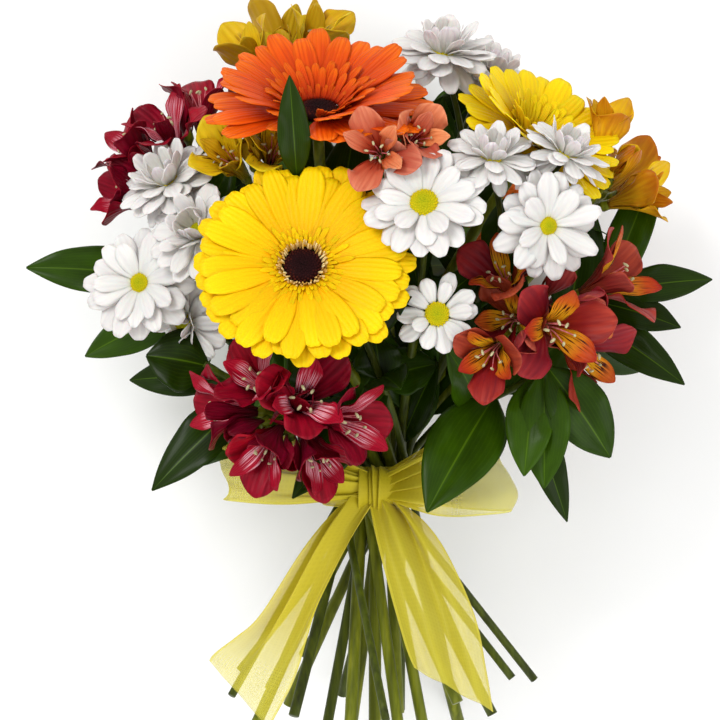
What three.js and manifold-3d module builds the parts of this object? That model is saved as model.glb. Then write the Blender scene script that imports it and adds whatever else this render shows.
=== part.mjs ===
// A hand-tied mixed bouquet with an organza bow, lying on its back on a table.
//
// Lengths are in millimetres. While the bouquet is built the origin is the middle of the tie,
// +Y runs from the cut stem ends to the flower heads, +Z is up, and the table top is
// AXIS_HEIGHT below the axis. The finished group is moved so that the middle of the underside
// of its box is the origin.
//
// A node is a list of pieces that are fused. Each piece also gives guards: the same shapes grown
// by CLEARANCE. Firm pieces (stems, cups, hubs) are laid out clear of each other. Petals and
// leaves that would meet a guard of another node are trimmed back to it.

import * as THREE from "three";
import { mergeVertices } from "three/addons/utils/BufferGeometryUtils.js";
import Module from "manifold-3d";

const wasm = await Module();
wasm.setup();

// ---- Driving dimensions ----------------------------------------------------------------

const AXIS_HEIGHT = 88; // bouquet axis above the table
const CLEARANCE = 0.35; // air left between neighbouring pieces
const SIDES = 5; // sides of a stem

// Rings of stems at the tie: radius of the ring and how far each stem leans in the spiral.
const TIE_RINGS = [
  { radius: 0, lean: 0 },
  { radius: 6.5, lean: 11 },
  { radius: 13, lean: 27.5 },
  { radius: 18.4, lean: 39 },
];
const STRAIGHT_ABOVE_TIE = 15; // straight run of a stem above the tie

const BINDING = { inner: 21.6, outer: 22.7, height: 11 };
const RIBBON = { inner: 23.1, outer: 24.2, height: 18, thick: 1 };
const KNOT = { width: 24, length: 20, height: 14, above: 6.4 };

// `open` says how the petals of a bloom stand: lift and bend of the low ones, then of the high ones.
const GERBERA = {
  hubIn: 9.5, hubOut: 13, hub: 3.6, eye: 9, cup: 12.4, cupDepth: 12, stem: 3, open: [12, -14, 25, -22],
};
const DAISY = {
  hubIn: 3.2, hubOut: 7.6, hub: 2.2, disc: 6.8, neck: 2.6, cup: 6.6, cupDepth: 5, stem: 2.5, branch: 1.5,
  petalPitch: 3.8, open: [4, -16, 24, -26],
};
const LILY = {
  core: 4.3, stem: 2.7, throat: 2.6, hub: 1.4, tube: 30, tepal: 39, open: [72, -46, 83, -46],
};
const GREEN = { stem: 1.9, lift: 16, bend: -32 };
const ROOT_SINK = 1; // run of a stem inside the piece it carries

// A blade's outline is a list of [share of its length, share of its width].
const PETAL_GERBERA = { width: 12.5, thick: 1.3, outline: [[0, 0.25], [0.7, 1], [1, 0.45]] };
const PETAL_DAISY = { width: 9.4, thick: 1.2, outline: [[0, 0.3], [0.64, 1], [1, 0.5]] };
const TEPAL_BROAD = { width: 18.5, thick: 1.3, outline: [[0, 0.16], [0.66, 1], [1, 0.4]] };
const TEPAL_NARROW = { width: 9, thick: 1.3, outline: [[0, 0.2], [0.6, 1], [1, 0.3]] };
const BRACT = {
  width: 9, length: 40, lift: 30, bend: -50, thick: 1.3, outline: [[0, 0.3], [0.5, 1], [1, 0.12]],
};
const LEAF = { thick: 1.3, outline: [[0, 0.12], [0.32, 0.92], [0.66, 0.86], [1, 0.06]] };

const LOOKS = {
  yellow: { color: 0xffd400, roughness: 0.55 },
  orange: { color: 0xf05a10, roughness: 0.55 },
  eye: { color: 0x2e120a, roughness: 0.9 },
  white: { color: 0xf2f1f4, roughness: 0.6 },
  red: { color: 0xb01028, roughness: 0.5 },
  coral: { color: 0xcf4422, roughness: 0.5 },
  salmon: { color: 0xe86a30, roughness: 0.5 },
  gold: { color: 0xe2b81a, roughness: 0.5 },
  stem: { color: 0x55751f, roughness: 0.5 },
  leaf: { color: 0x2a5a18, roughness: 0.35 },
  twine: { color: 0xa08a58, roughness: 0.9 },
  organza: { color: 0xdede52, roughness: 0.4 },
};

// ---- Flower heads: places, ways they face and the stems that carry them -------------------
// slot = [ring, degrees round the tie], cut = how far below the tie the stem is cut.

const GERBERAS = [
  { name: "front", look: "yellow", at: [-34.7, 109, 90], facing: [0, 0.42, 0.91], reach: 54, petals: 28,
    slot: [2, 30], cut: 122 },
  { name: "top", look: "orange", at: [-27.8, 186, 60], facing: [0, 0.86, 0.5], reach: 55, petals: 26,
    open: [22, -8, 36, -12], slot: [0, 0], cut: 132 },
  { name: "right", look: "yellow", at: [80, 174, 30], facing: [0.5, 0.74, 0.45], reach: 45, petals: 22,
    slot: [1, -45], cut: 118 },
  { name: "back", look: "orange", at: [34, 128, -78.5], facing: [-0.06, -0.03, -1], reach: 50, petals: 24,
    slot: [1, 195], cut: 128 },
];

const DAISIES = [
  { name: "centre", fork: [21, 92, 56], slot: [2, 0], cut: 116, blooms: [
    { at: [23, 139, 92], facing: [-0.1, 0.4, 0.9], reach: 30 },
    { at: [29.4, 86, 86], facing: [0, 0.1, 1], reach: 20 },
  ] },
  { name: "right", fork: [62, 118, 46], slot: [2, 330], cut: 108, blooms: [
    { at: [82.8, 128.4, 80], facing: [0.35, -0.1, 0.93], reach: 28 },
    { at: [56, 162, 78], facing: [0.1, 0.8, 0.6], reach: 24 },
    { at: [92, 164, 70], facing: [0.45, 0.78, 0.42], reach: 23 },
  ] },
  { name: "left", fork: [-78, 104, 26], slot: [2, 90], cut: 112, blooms: [
    { at: [-115.2, 101.7, 46], facing: [-0.35, 0.1, 0.93], reach: 29 },
    { at: [-86, 126, 62], facing: [-0.4, 0.4, 0.82], reach: 27 },
    { at: [-94, 82, 36], facing: [-0.45, -0.35, 0.82], reach: 24 },
    { at: [-102, 152, 36], facing: [-0.45, 0.75, 0.5], reach: 28 },
  ] },
  { name: "top", fork: [44, 178, 2], slot: [1, -105], cut: 126, blooms: [
    { at: [34, 217, 14], facing: [0.1, 0.9, 0.42], reach: 28 },
    { at: [58, 209, -20], facing: [0.35, 0.88, 0.25], reach: 27 },
  ] },
  { name: "back", fork: [-28, 96, -46], slot: [2, 210], cut: 110, blooms: [
    { at: [-48, 134, -83.5], facing: [0.05, -0.03, -1], reach: 27 },
    { at: [-40, 78, -72], facing: [-0.3, -0.35, -0.9], reach: 24 },
  ] },
];

const LILIES = [
  { name: "red_left", look: "red", core: [-88, 140, -6], slot: [2, 120], cut: 104, florets: [
    { at: [-128, 176, 6], roll: 0, size: 0.84 },
    { at: [-130, 148, 14], roll: 40, size: 0.84 },
    { at: [-106, 186, 24], roll: 20, size: 0.84 },
    { at: [-86, 202, 0], roll: 50, size: 0.84 },
    { at: [-114, 170, -32], roll: 10, size: 0.84 },
  ] },
  { name: "red_front", look: "red", core: [-42, 38, 56], slot: [2, 60], cut: 106, florets: [
    { at: [-32, 48, 100], roll: 30 },
    { at: [-60, 58, 94], roll: 0, size: 0.92 },
    { at: [-6, 34, 88], roll: 15, size: 0.95 },
    { at: [-82, 40, 72], roll: 45, size: 0.88 },
    { at: [-56, 16, 80], roll: 20, size: 0.88 },
    { at: [-24, 12, 80], roll: 50, size: 0.88 },
  ] },
  { name: "yellow_left", look: "gold", core: [-56, 144, 18], slot: [1, 75], cut: 120, florets: [
    { at: [-74, 166, 56], roll: 0, size: 0.85 },
    { at: [-48, 172, 64], roll: 25, size: 0.85 },
  ] },
  { name: "yellow_top", look: "gold", core: [-46, 196, -18], slot: [1, 135], cut: 130, florets: [
    { at: [-26, 234, -2], roll: 10 },
    { at: [-66, 222, -6], roll: 35 },
    { at: [-46, 232, -40], roll: 55 },
  ] },
  { name: "salmon", look: "salmon", core: [6, 160, 42], slot: [1, 15], cut: 114, florets: [
    { at: [0, 165, 92], roll: 0, size: 0.8 },
    { at: [23, 174, 82], roll: 30, size: 0.82 },
  ] },
  { name: "gold_right", look: "gold", core: [104, 138, 4], slot: [2, 270], cut: 102, florets: [
    { at: [116, 186, 16], roll: 20, size: 0.85 },
    { at: [140, 148, 14], roll: 50, size: 0.85 },
    { at: [132, 160, -28], roll: 5, size: 0.9 },
  ] },
  { name: "coral_right", look: "coral", core: [72, 84, 34], slot: [2, 300], cut: 112, florets: [
    { at: [52, 64, 94], roll: 30 },
    { at: [90, 78, 92], roll: 0 },
    { at: [126, 108, 56], roll: 15 },
    { at: [58, 112, 82], roll: 45, size: 0.88 },
    { at: [110, 62, 60], roll: 25, size: 0.88 },
  ] },
  { name: "red_back", look: "red", core: [72, 84, -42], slot: [2, 240], cut: 118, florets: [
    { at: [112, 96, -60], roll: 0 },
    { at: [92, 56, -66], roll: 30 },
    { at: [118, 122, -34], roll: 15 },
  ] },
];

// A leaf leaves its stem at a share of the stem's run above the tie.
const GREENS = [
  { name: "left", tip: [-112, 110, -8], slot: [3, 105], cut: 92, leaves: [
    { share: 0.95, tip: [-173.6, 110, 4], width: 26 },
    { share: 0.8, tip: [-146, 66, -22], width: 24 },
    { share: 0.65, tip: [-92, 60, -52], width: 26 },
  ] },
  { name: "lower_left", tip: [-84, 62, 40], slot: [3, 75], cut: 96, leaves: [
    { share: 0.98, tip: [-112, 66, 42], width: 34 },
    { share: 0.85, tip: [-121, 54, 22], width: 20 },
    { share: 0.7, tip: [-108.7, 0.5, 46], width: 26 },
    { share: 0.5, tip: [-86, 12, 50], width: 18 },
  ] },
  { name: "lower_right", tip: [84, 60, 56], slot: [3, 315], cut: 88, leaves: [
    { share: 0.62, tip: [25, -9, 72], width: 37 },
    { share: 0.9, tip: [72, 8, 62], width: 24 },
    { share: 0.97, tip: [82, 2, 56], width: 26 },
    { share: 1, tip: [114.4, 16.7, 48], width: 30 },
    { share: 0.5, tip: [34, 70, 66], width: 24 },
    { share: 0.8, tip: [94, -15, 36], width: 18 },
  ] },
  { name: "right", tip: [118, 98, 8], slot: [3, 285], cut: 94, leaves: [
    { share: 0.86, tip: [152, 52, 30], width: 22 },
    { share: 0.94, tip: [151, 80, 20], width: 20 },
    { share: 1, tip: [167.6, 104, 8], width: 20 },
    { share: 0.97, tip: [142, 162, -8], width: 22 },
    { share: 0.7, tip: [138, 60, -38], width: 24 },
  ] },
  { name: "front", tip: [-38, 152, 72], slot: [3, 15], cut: 118, leaves: [
    { share: 1, tip: [-41, 199, 94], width: 18 },
    { share: 0.45, tip: [17, 94, 92], width: 20 },
    { share: 0.3, tip: [12, 50, 78], width: 24 },
    { share: 0.25, tip: [-40, -4, 70], width: 22 },
  ] },
  { name: "back_left", tip: [-70, 120, -52], slot: [3, 165], cut: 108, leaves: [
    { share: 1, tip: [-112, 150, -56], width: 28 },
    { share: 0.9, tip: [-84, 186, -52], width: 28 },
    { share: 0.6, tip: [-64, 24, -76], width: 26 },
  ] },
  { name: "back_right", tip: [28, 176, -52], slot: [3, 225], cut: 100, leaves: [
    { share: 1, tip: [62, 206, -54], width: 28 },
    { share: 0.95, tip: [-6, 214, -58], width: 28 },
    { share: 0.55, tip: [20, 34, -80], width: 26 },
  ] },
];

// ---- Solids -------------------------------------------------------------------------------

const vec = (x, y, z) => new THREE.Vector3(x, y, z);
const along = (from, way, run) => from.clone().addScaledVector(way, run);
const radians = THREE.MathUtils.degToRad;

function geometryOf(positions, faces) {
  const geometry = new THREE.BufferGeometry();
  geometry.setAttribute("position", new THREE.Float32BufferAttribute(positions, 3));
  geometry.setIndex(faces);
  return geometry;
}

function solidOf(geometry) {
  const bare = new THREE.BufferGeometry();
  bare.setAttribute("position", geometry.getAttribute("position"));
  bare.setIndex(geometry.getIndex());
  const merged = mergeVertices(bare, 1e-4);
  const corners = merged.getIndex().array;
  const faces = [];
  for (let i = 0; i < corners.length; i += 3) {
    const [a, b, c] = corners.subarray(i, i + 3);
    if (a !== b && b !== c && c !== a) faces.push(a, b, c);
  }
  return new wasm.Manifold(new wasm.Mesh({
    numProp: 3,
    vertProperties: merged.getAttribute("position").array,
    triVerts: Uint32Array.from(faces),
  }));
}

function meshOf(name, solid, look) {
  const { vertProperties, triVerts } = solid.getMesh();
  const geometry = geometryOf(vertProperties, Array.from(triVerts));
  geometry.computeVertexNormals();
  const mesh = new THREE.Mesh(geometry, new THREE.MeshStandardMaterial({ ...LOOKS[look], metalness: 0 }));
  mesh.name = name;
  return mesh;
}

// A piece from a maker, which takes how far to grow the shape. Firm pieces are never trimmed.
const firm = (make) => ({ real: () => make(0), firm: () => [make(CLEARANCE)], soft: () => [] });
const soft = (make) => ({ real: () => make(0), firm: () => [], soft: () => [make(CLEARANCE)] });

// A closed surface of revolution about an axis through `at`. A profile point is
// [radius, height, share of the growth outward, share of the growth upward].
function turned(profile, at, axis, segments) {
  return (grow) => {
    const points = profile.map(([radius, height, out = 1, up = 0]) =>
      new THREE.Vector2(radius && radius + grow * out, height + grow * up));
    const geometry = new THREE.LatheGeometry(points, segments);
    geometry.applyQuaternion(new THREE.Quaternion().setFromUnitVectors(vec(0, 1, 0), axis));
    geometry.translate(at.x, at.y, at.z);
    return solidOf(geometry);
  };
}

function ringProfile(inner, outer, bottom, top) {
  const start = [inner, bottom, -1, -1];
  return [start, [outer, bottom, 1, -1], [outer, top, 1, 1], [inner, top, -1, 1], start];
}

// A path through chosen points. A straight run of it costs one step of the extrusion.
class Route extends THREE.Curve {
  constructor(points) {
    super();
    this.points = points;
  }

  getPointAt(share) {
    const place = share * (this.points.length - 1);
    const first = Math.min(Math.floor(place), this.points.length - 2);
    return this.points[first].clone().lerp(this.points[first + 1], place - first);
  }

  getTangentAt(share) {
    const nearest = Math.round(share * (this.points.length - 1));
    const before = this.points[Math.max(nearest - 1, 0)];
    const after = this.points[Math.min(nearest + 1, this.points.length - 1)];
    return after.clone().sub(before).normalize();
  }
}

function tube(points, radius, sides = SIDES) {
  return (grow) => {
    const corners = [];
    for (let i = 0; i < sides; i += 1) {
      const angle = (2 * Math.PI * i) / sides;
      corners.push(new THREE.Vector2(Math.cos(angle), Math.sin(angle)).multiplyScalar(radius + grow));
    }
    const options = { steps: points.length - 1, bevelEnabled: false, extrudePath: new Route(points) };
    return solidOf(new THREE.ExtrudeGeometry(new THREE.Shape(corners), options));
  };
}

// Middle line of a blade that grows along +Y with its face to +Z. It starts `lift` above +Y and
// turns by `bend` over its length. Gives the distance out, the height and the angle at a share.
function midline({ length, lift, bend }, share) {
  const from = radians(lift);
  const turn = radians(bend);
  const angle = from + turn * share;
  return [
    (length * (Math.sin(angle) - Math.sin(from))) / turn,
    (length * (Math.cos(from) - Math.cos(angle))) / turn,
    angle,
  ];
}

// Corners of one ring of a blade: its two edges and a keel under the middle. A grown ring has
// edges of a thickness of its own, so that it holds the sharp edges with air all round.
function bladeRing(shape, [share, wide, deep = shape.thick], grow, ahead) {
  const [out, high, angle] = midline(shape, share);
  const half = (shape.width * wide) / 2 + grow;
  const keel = [0, -deep - grow];
  const section = grow
    ? [[-half, grow], [half, grow], [half, -grow], keel, [-half, -grow]]
    : [[-half, 0], [half, 0], keel];
  return section.map(([across, up]) => [
    across,
    out + ahead * Math.cos(angle) - up * Math.sin(angle),
    high + ahead * Math.sin(angle) + up * Math.cos(angle),
  ]);
}

// Faces between two rings of corners. Left and right of the keel they are split alike.
function bridge(from, to, keel) {
  return from.flatMap((a, side) => {
    const other = (side + 1) % from.length;
    const [b, c, d] = [from[other], to[other], to[side]];
    return other === keel ? [a, b, c, a, c, d] : [a, b, d, b, c, d];
  });
}

function bladeGeometry(shape, grow) {
  const last = shape.outline.length - 1;
  const ahead = (i) => (i === last ? grow : 0) - (i === 0 ? grow : 0);
  const rings = shape.outline.map((place, i) => bladeRing(shape, place, grow, ahead(i)));
  const sides = rings[0].length;
  const corners = rings.map((_, i) => Array.from({ length: sides }, (_, side) => i * sides + side));
  const faces = corners.slice(1).flatMap((to, i) => bridge(corners[i], to, grow ? 3 : 2));
  const tip = last * sides;
  for (let side = 1; side + 1 < sides; side += 1) {
    faces.push(0, side + 1, side, tip, tip + side, tip + side + 1);
  }
  return geometryOf(rings.flat(2), faces);
}

// The frame of a blade: its root, the way it grows and the way its face looks.
function bladeFrame(root, way, face) {
  const up = along(face, way, -face.dot(way)).normalize();
  return new THREE.Matrix4().makeBasis(way.clone().cross(up), way, up).setPosition(root);
}

const blade = (shape, root, way, face) => (grow) =>
  solidOf(bladeGeometry(shape, grow).applyMatrix4(bladeFrame(root, way, face)));

// Petals grown in one piece from a hub that faces +Z: an open ring, or with no inner radius a
// cone down to `tail`. The kinds of petal take turns round the hub.
function rosetteGeometry({ hubIn, hubOut, hub, tail, kinds, count, turn }) {
  const positions = [];
  const faces = [];
  const step = (2 * Math.PI) / count;
  const put = (radius, angle, height) => {
    positions.push(radius * Math.cos(angle), radius * Math.sin(angle), height);
    return positions.length / 3 - 1;
  };
  const ring = (radius, height, shift) =>
    Array.from({ length: count }, (_, i) => put(radius, radians(turn) + (i + shift) * step, height));
  const rim = ring(hubOut, 0, -0.5);
  const keels = ring(hubOut, -hub, 0);
  const inTop = hubIn ? ring(hubIn, 0, -0.5) : rim.map(() => 0);
  const inLow = hubIn ? ring(hubIn, -hub, 0) : rim.map(() => 1);
  if (!hubIn) {
    inTop.fill(put(0, 0, -hub / 2));
    inLow.fill(put(0, 0, -tail));
  }
  for (let i = 0; i < count; i += 1) {
    const next = (i + 1) % count;
    const before = (i + count - 1) % count;
    faces.push(inTop[i], rim[i], rim[next]);
    faces.push(keels[before], keels[i], rim[i]);
    faces.push(keels[i], keels[before], inLow[i]);
    if (hubIn) {
      faces.push(inTop[i], rim[next], inTop[next], keels[before], inLow[before], inLow[i]);
      faces.push(inTop[i], inTop[next], inLow[i], inLow[i], inLow[before], inTop[i]);
    }
    const kind = kinds[i % kinds.length];
    const angle = radians(turn) + i * step;
    const start = hubOut * Math.cos(step / 2);
    let from = [rim[next], rim[i], keels[i]];
    for (const place of kind.outline.slice(1)) {
      const to = bladeRing(kind, place, 0, 0).map(([across, out, high]) => {
        const far = Math.hypot(start + out, across);
        return put(far, angle - Math.atan2(across, start + out), high);
      });
      faces.push(...bridge(from, to, 2));
      from = to;
    }
    faces.push(...from);
  }
  return geometryOf(positions, faces);
}

// Two directions across a flower that faces `way`.
function spokes(way) {
  const up = Math.abs(way.y) > 0.95 ? vec(0, 0, 1) : vec(0, 1, 0);
  const across = up.cross(way).normalize();
  return [across, way.clone().cross(across)];
}

function rosette(shape, centre, way) {
  const [across, upward] = spokes(way);
  const frame = new THREE.Matrix4().makeBasis(across, upward, way).setPosition(centre);
  const { hubIn, hubOut, hub, tail } = shape;
  const middle = hubIn
    ? ringProfile(hubIn, hubOut, -hub, 0)
    : [[0, -tail], [0.4, -tail], [hubOut, -hub, 1, -1], [hubOut, 0, 1, 1], [0, 0, 1, 1]];
  const chord = 2 * hubOut * Math.sin(Math.PI / shape.count);
  const start = hubOut * Math.cos(Math.PI / shape.count);
  const petals = Array.from({ length: shape.count }, (_, i) => {
    const angle = radians(shape.turn + (360 * i) / shape.count);
    const out = across.clone().multiplyScalar(Math.cos(angle)).addScaledVector(upward, Math.sin(angle));
    const kind = shape.kinds[i % shape.kinds.length];
    const outline = [[0, chord / kind.width, hub], ...kind.outline.slice(1)];
    return blade({ ...kind, outline }, along(centre, out, start), out, way);
  });
  return {
    real: () => solidOf(rosetteGeometry(shape).applyMatrix4(frame)),
    firm: () => [turned(middle, centre, way, Math.max(shape.count, 12))(CLEARANCE)],
    soft: () => petals.map((make) => make(CLEARANCE)),
  };
}

// A thin sheet with the given rows of middle points, split alike on both faces.
function sheet(rows, thick) {
  const columns = rows[0].length;
  const last = rows.length - 1;
  const at = (row, column) =>
    rows[THREE.MathUtils.clamp(row, 0, last)][THREE.MathUtils.clamp(column, 0, columns - 1)];
  const faces = [];
  const back = rows.length * columns;
  const quad = (a, b, c, d) => faces.push(a, b, c, a, c, d);
  for (let i = 0; i < last; i += 1) {
    for (let j = 0; j + 1 < columns; j += 1) {
      const a = i * columns + j;
      const c = a + columns + 1;
      quad(a, a + 1, c, c - 1);
      faces.push(back + a, back + c, back + a + 1, back + a, back + c - 1, back + c);
    }
    const left = i * columns;
    const right = left + columns - 1;
    quad(left, left + columns, back + left + columns, back + left);
    quad(right + columns, right, back + right, back + right + columns);
  }
  for (let j = 0; j + 1 < columns; j += 1) {
    const end = last * columns + j;
    quad(j + 1, j, back + j, back + j + 1);
    quad(end, end + 1, back + end + 1, back + end);
  }
  return (grow) => {
    const positions = [];
    for (const side of [0.5, -0.5]) {
      rows.forEach((row, i) => row.forEach((point, j) => {
        const down = at(i + 1, j).clone().sub(at(i - 1, j)).normalize();
        const across = at(i, j + 1).clone().sub(at(i, j - 1)).normalize();
        const rim = point.clone()
          .addScaledVector(down, i === 0 ? -grow : i === last ? grow : 0)
          .addScaledVector(across, j === 0 ? -grow : j === columns - 1 ? grow : 0);
        positions.push(...along(rim, across.cross(down).normalize(), side * (thick + 2 * grow)));
      }));
    }
    return solidOf(geometryOf(positions, faces));
  };
}

// ---- Stems --------------------------------------------------------------------------------

// The straight stem through the tie: its cut end, the point where it starts to curve, its way.
function tiedRun([ring, degrees], cut) {
  const { radius, lean } = TIE_RINGS[ring];
  const angle = radians(degrees);
  const tilt = radians(lean);
  const way = vec(-Math.sin(angle) * Math.sin(tilt), Math.cos(tilt), Math.cos(angle) * Math.sin(tilt));
  const middle = vec(radius * Math.cos(angle), 0, radius * Math.sin(angle));
  return {
    end: along(middle, way, -cut / way.y),
    start: along(middle, way, STRAIGHT_ABOVE_TIE),
    way,
  };
}

function curved(from, way, to, arrival, steps) {
  const run = from.distanceTo(to);
  const leaving = along(from, way, run * 0.4);
  const arriving = along(to, arrival, -run * 0.35);
  return new THREE.CubicBezierCurve3(from, leaving, arriving, to).getPoints(steps);
}

function stemRoute(slot, cut, to, arrival, steps = 4) {
  const { end, start, way } = tiedRun(slot, cut);
  return [end, ...curved(start, way, to, arrival, steps)];
}

// ---- Flowers ------------------------------------------------------------------------------

function gerbera({ name, look, at, facing, reach, petals, open = GERBERA.open, slot, cut }) {
  const centre = vec(...at);
  const way = vec(...facing).normalize();
  const { hub, eye, cup, cupDepth, stem } = GERBERA;
  const length = reach - GERBERA.hubOut;
  const [lowLift, lowBend, highLift, highBend] = open;
  const kinds = [
    { ...PETAL_GERBERA, length, lift: lowLift, bend: lowBend },
    { ...PETAL_GERBERA, length: length * 0.9, lift: highLift, bend: highBend },
  ];
  const bottom = -hub - 0.5;
  const base = along(centre, way, bottom - cupDepth);
  const dome = [[0, -hub - 0.05], [eye, -hub - 0.05], [eye, 1.5], [eye * 0.6, 3.6], [0, 4]];
  const root = bottom - cupDepth;
  const calyx = [[0, root], [stem + 0.4, root], [cup * 0.8, bottom - 4], [cup, bottom], [0, bottom]];
  return [
    { name: `gerbera_${name}_petals`, look,
      pieces: [rosette({ ...GERBERA, kinds, count: petals, turn: 0 }, centre, way)] },
    { name: `gerbera_${name}_eye`, look: "eye", pieces: [firm(turned(dome, centre, way, 8))] },
    { name: `gerbera_${name}_stem`, look: "stem", pieces: [
      firm(tube(stemRoute(slot, cut, along(base, way, 2 * ROOT_SINK), way), stem)),
      firm(turned(calyx, centre, way, 7)),
    ] },
  ];
}

function daisySpray({ name, fork, slot, cut, blooms }) {
  const { hub, disc, neck, cup, cupDepth, stem, branch, open } = DAISY;
  const [lowLift, lowBend, highLift, highBend] = open;
  const forkAt = vec(...fork);
  const { start } = tiedRun(slot, cut);
  const climb = forkAt.clone().sub(start).normalize();
  const spray = [firm(tube(stemRoute(slot, cut, along(forkAt, climb, ROOT_SINK), climb), stem))];
  const heads = blooms.map(({ at, facing, reach }, i) => {
    const centre = vec(...at);
    const way = vec(...facing).normalize();
    const bottom = -hub - 0.5;
    const base = along(centre, way, bottom - cupDepth);
    const root = along(base, way, ROOT_SINK);
    const core = [[0, bottom - cupDepth], [cup, bottom], [neck, bottom], [neck, 0.5], [disc, 0.5], [0, 3.6]];
    spray.push(firm(turned(core, centre, way, 6)));
    spray.push(firm(tube(curved(forkAt, climb, root, way, 2), branch, 4)));
    const length = reach - DAISY.hubOut;
    const kinds = [
      { ...PETAL_DAISY, length, lift: lowLift, bend: lowBend },
      { ...PETAL_DAISY, length: length * 0.92, lift: highLift, bend: highBend },
    ];
    const count = 2 * Math.round(reach / DAISY.petalPitch);
    return { name: `daisy_${name}_${i + 1}_petals`, look: "white",
      pieces: [rosette({ ...DAISY, kinds, count, turn: 0 }, centre, way)] };
  });
  return [...heads, { name: `daisy_${name}_spray`, look: "stem", pieces: spray }];
}

function lily({ name, look, core, slot, cut, florets }) {
  const { core: high, stem: low, throat: hubOut, hub, open } = LILY;
  const [broadLift, broadBend, narrowLift, narrowBend] = open;
  const middle = vec(...core);
  const { start } = tiedRun(slot, cut);
  const climb = middle.clone().sub(start).normalize();
  const opened = florets.map(({ at, roll, size = 1 }) => {
    const mouth = vec(...at);
    const way = mouth.clone().sub(middle).normalize();
    const base = along(mouth, way, -LILY.tube * size);
    const length = LILY.tepal * size;
    const kinds = [
      { ...TEPAL_BROAD, width: TEPAL_BROAD.width * size, length, lift: broadLift, bend: broadBend },
      { ...TEPAL_NARROW, width: TEPAL_NARROW.width * size, length, lift: narrowLift, bend: narrowBend },
    ];
    const tail = base.distanceTo(middle) + ROOT_SINK;
    return rosette({ hubIn: 0, hubOut, hub, tail, kinds, count: 6, turn: roll }, base, way);
  });
  const receptacle = [[0, -high], [low, -high, 1, -1], [high, high * 0.6], [0, high * 0.6]];
  const heart = firm(turned(receptacle, middle, climb, 6));
  const top = along(middle, climb, -high - 0.5);
  const [across, upward] = spokes(climb);
  const collar = [20, 140, 260].map((degrees) => {
    const angle = radians(degrees);
    const out = across.clone().multiplyScalar(Math.cos(angle)).addScaledVector(upward, Math.sin(angle));
    return soft(blade(BRACT, along(along(top, climb, -5), out, 1.2), out, climb));
  });
  return [
    { name: `lily_${name}_florets`, look, pieces: [heart, ...opened] },
    { name: `lily_${name}_stem`, look: "stem",
      pieces: [firm(tube(stemRoute(slot, cut, top, climb), low)), ...collar] },
  ];
}

function greenery({ name, tip, slot, cut, leaves }) {
  const { start } = tiedRun(slot, cut);
  const end = vec(...tip);
  const arrival = end.clone().sub(start).normalize();
  const route = stemRoute(slot, cut, end, arrival);
  const rising = new Route(route.slice(1));
  const blades = leaves.map(({ share, tip: to, width, face = [0, 0.3, 1] }) => {
    const root = rising.getPointAt(share);
    const way = vec(...to).sub(root);
    const shape = { ...LEAF, width, length: way.length() * 1.02, lift: GREEN.lift, bend: GREEN.bend };
    return soft(blade(shape, root, way.normalize(), vec(...face)));
  });
  return { name: `greenery_${name}`, look: "leaf", pieces: [firm(tube(route, GREEN.stem)), ...blades] };
}

// ---- Binding and bow ----------------------------------------------------------------------

const band = ({ inner, outer, height }) =>
  firm(turned(ringProfile(inner, outer, -height / 2, height / 2), vec(0, 0, 0), vec(0, 1, 0), 14));

// One row of a gathered ribbon: points across it, folded up and down by `fold`.
function ribbonRow([x, y, z], [ax, ay, az], fold) {
  const across = vec(ax, ay, az);
  return [-0.5, -0.05, 0.5].map((share, i) =>
    along(vec(x, y, z), across, share).add(vec(0, 0, i % 2 ? fold : -fold)));
}

const ribbonSheet = (rows) => firm(sheet(rows.map((row) => ribbonRow(...row)), RIBBON.thick));

function bow() {
  const knot = firm((grow) => solidOf(new THREE.SphereGeometry(1, 7, 4)
    .scale(KNOT.width / 2 + grow, KNOT.length / 2 + grow, KNOT.height / 2 + grow)
    .translate(0, 1, RIBBON.outer + KNOT.above)));
  const leftTail = [
    [[-3, -2, 32], [14, 4, 0], 1.5],
    [[-14, -26, 40], [34, 12, 0], 2.5],
    [[-36, -58, 47], [42, 18, 0], 3],
    [[-56, -86, 54], [50, 20, 0], 3],
    [[-68, -104, 58], [46, -26, 0], 2.5],
  ];
  const rightTail = [
    [[3, -2, 32], [14, -4, 0], 1.5],
    [[11, -26, 40], [26, -6, 0], 2.5],
    [[25, -56, 49], [34, -8, 0], 3],
    [[34, -82, 58], [36, -8, 0], 3],
    [[40, -96, 61], [36, -20, 0], 2.5],
  ];
  const leftLoop = [
    [[-4, 2, 34], [0, 12, 0], 1],
    [[-40, 5, 44], [4, 26, 0], 1.5],
    [[-72, 8, 45], [6, 28, 0], 1.2],
    [[-79, 8, 40], [6, 28, 0], 1],
    [[-72, 8, 35], [6, 28, 0], 1.2],
    [[-40, 5, 32], [4, 26, 0], 1.5],
    [[-4, 2, 26], [0, 12, 0], 1],
  ];
  const rightLoop = [
    [[4, 2, 34], [0, 12, 0], 1],
    [[32, 7, 46], [0, 30, 0], 1.5],
    [[60, 13, 47], [4, 42, 0], 1.2],
    [[67, 14, 42], [4, 44, 0], 1],
    [[60, 13, 37], [4, 42, 0], 1.2],
    [[32, 7, 33], [0, 30, 0], 1.5],
    [[4, 2, 26], [0, 12, 0], 1],
  ];
  const sheets = [leftTail, rightTail, leftLoop, rightLoop].map(ribbonSheet);
  return { name: "ribbon_bow", look: "organza", pieces: [band(RIBBON), knot, ...sheets] };
}

// ---- Putting the nodes together -----------------------------------------------------------

const boxesMeet = (a, b) => [0, 1, 2].every((k) => a.min[k] < b.max[k] && b.min[k] < a.max[k]);

const largest = (solid) => solid.decompose().sort((a, b) => b.volume() - a.volume())[0];

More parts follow.
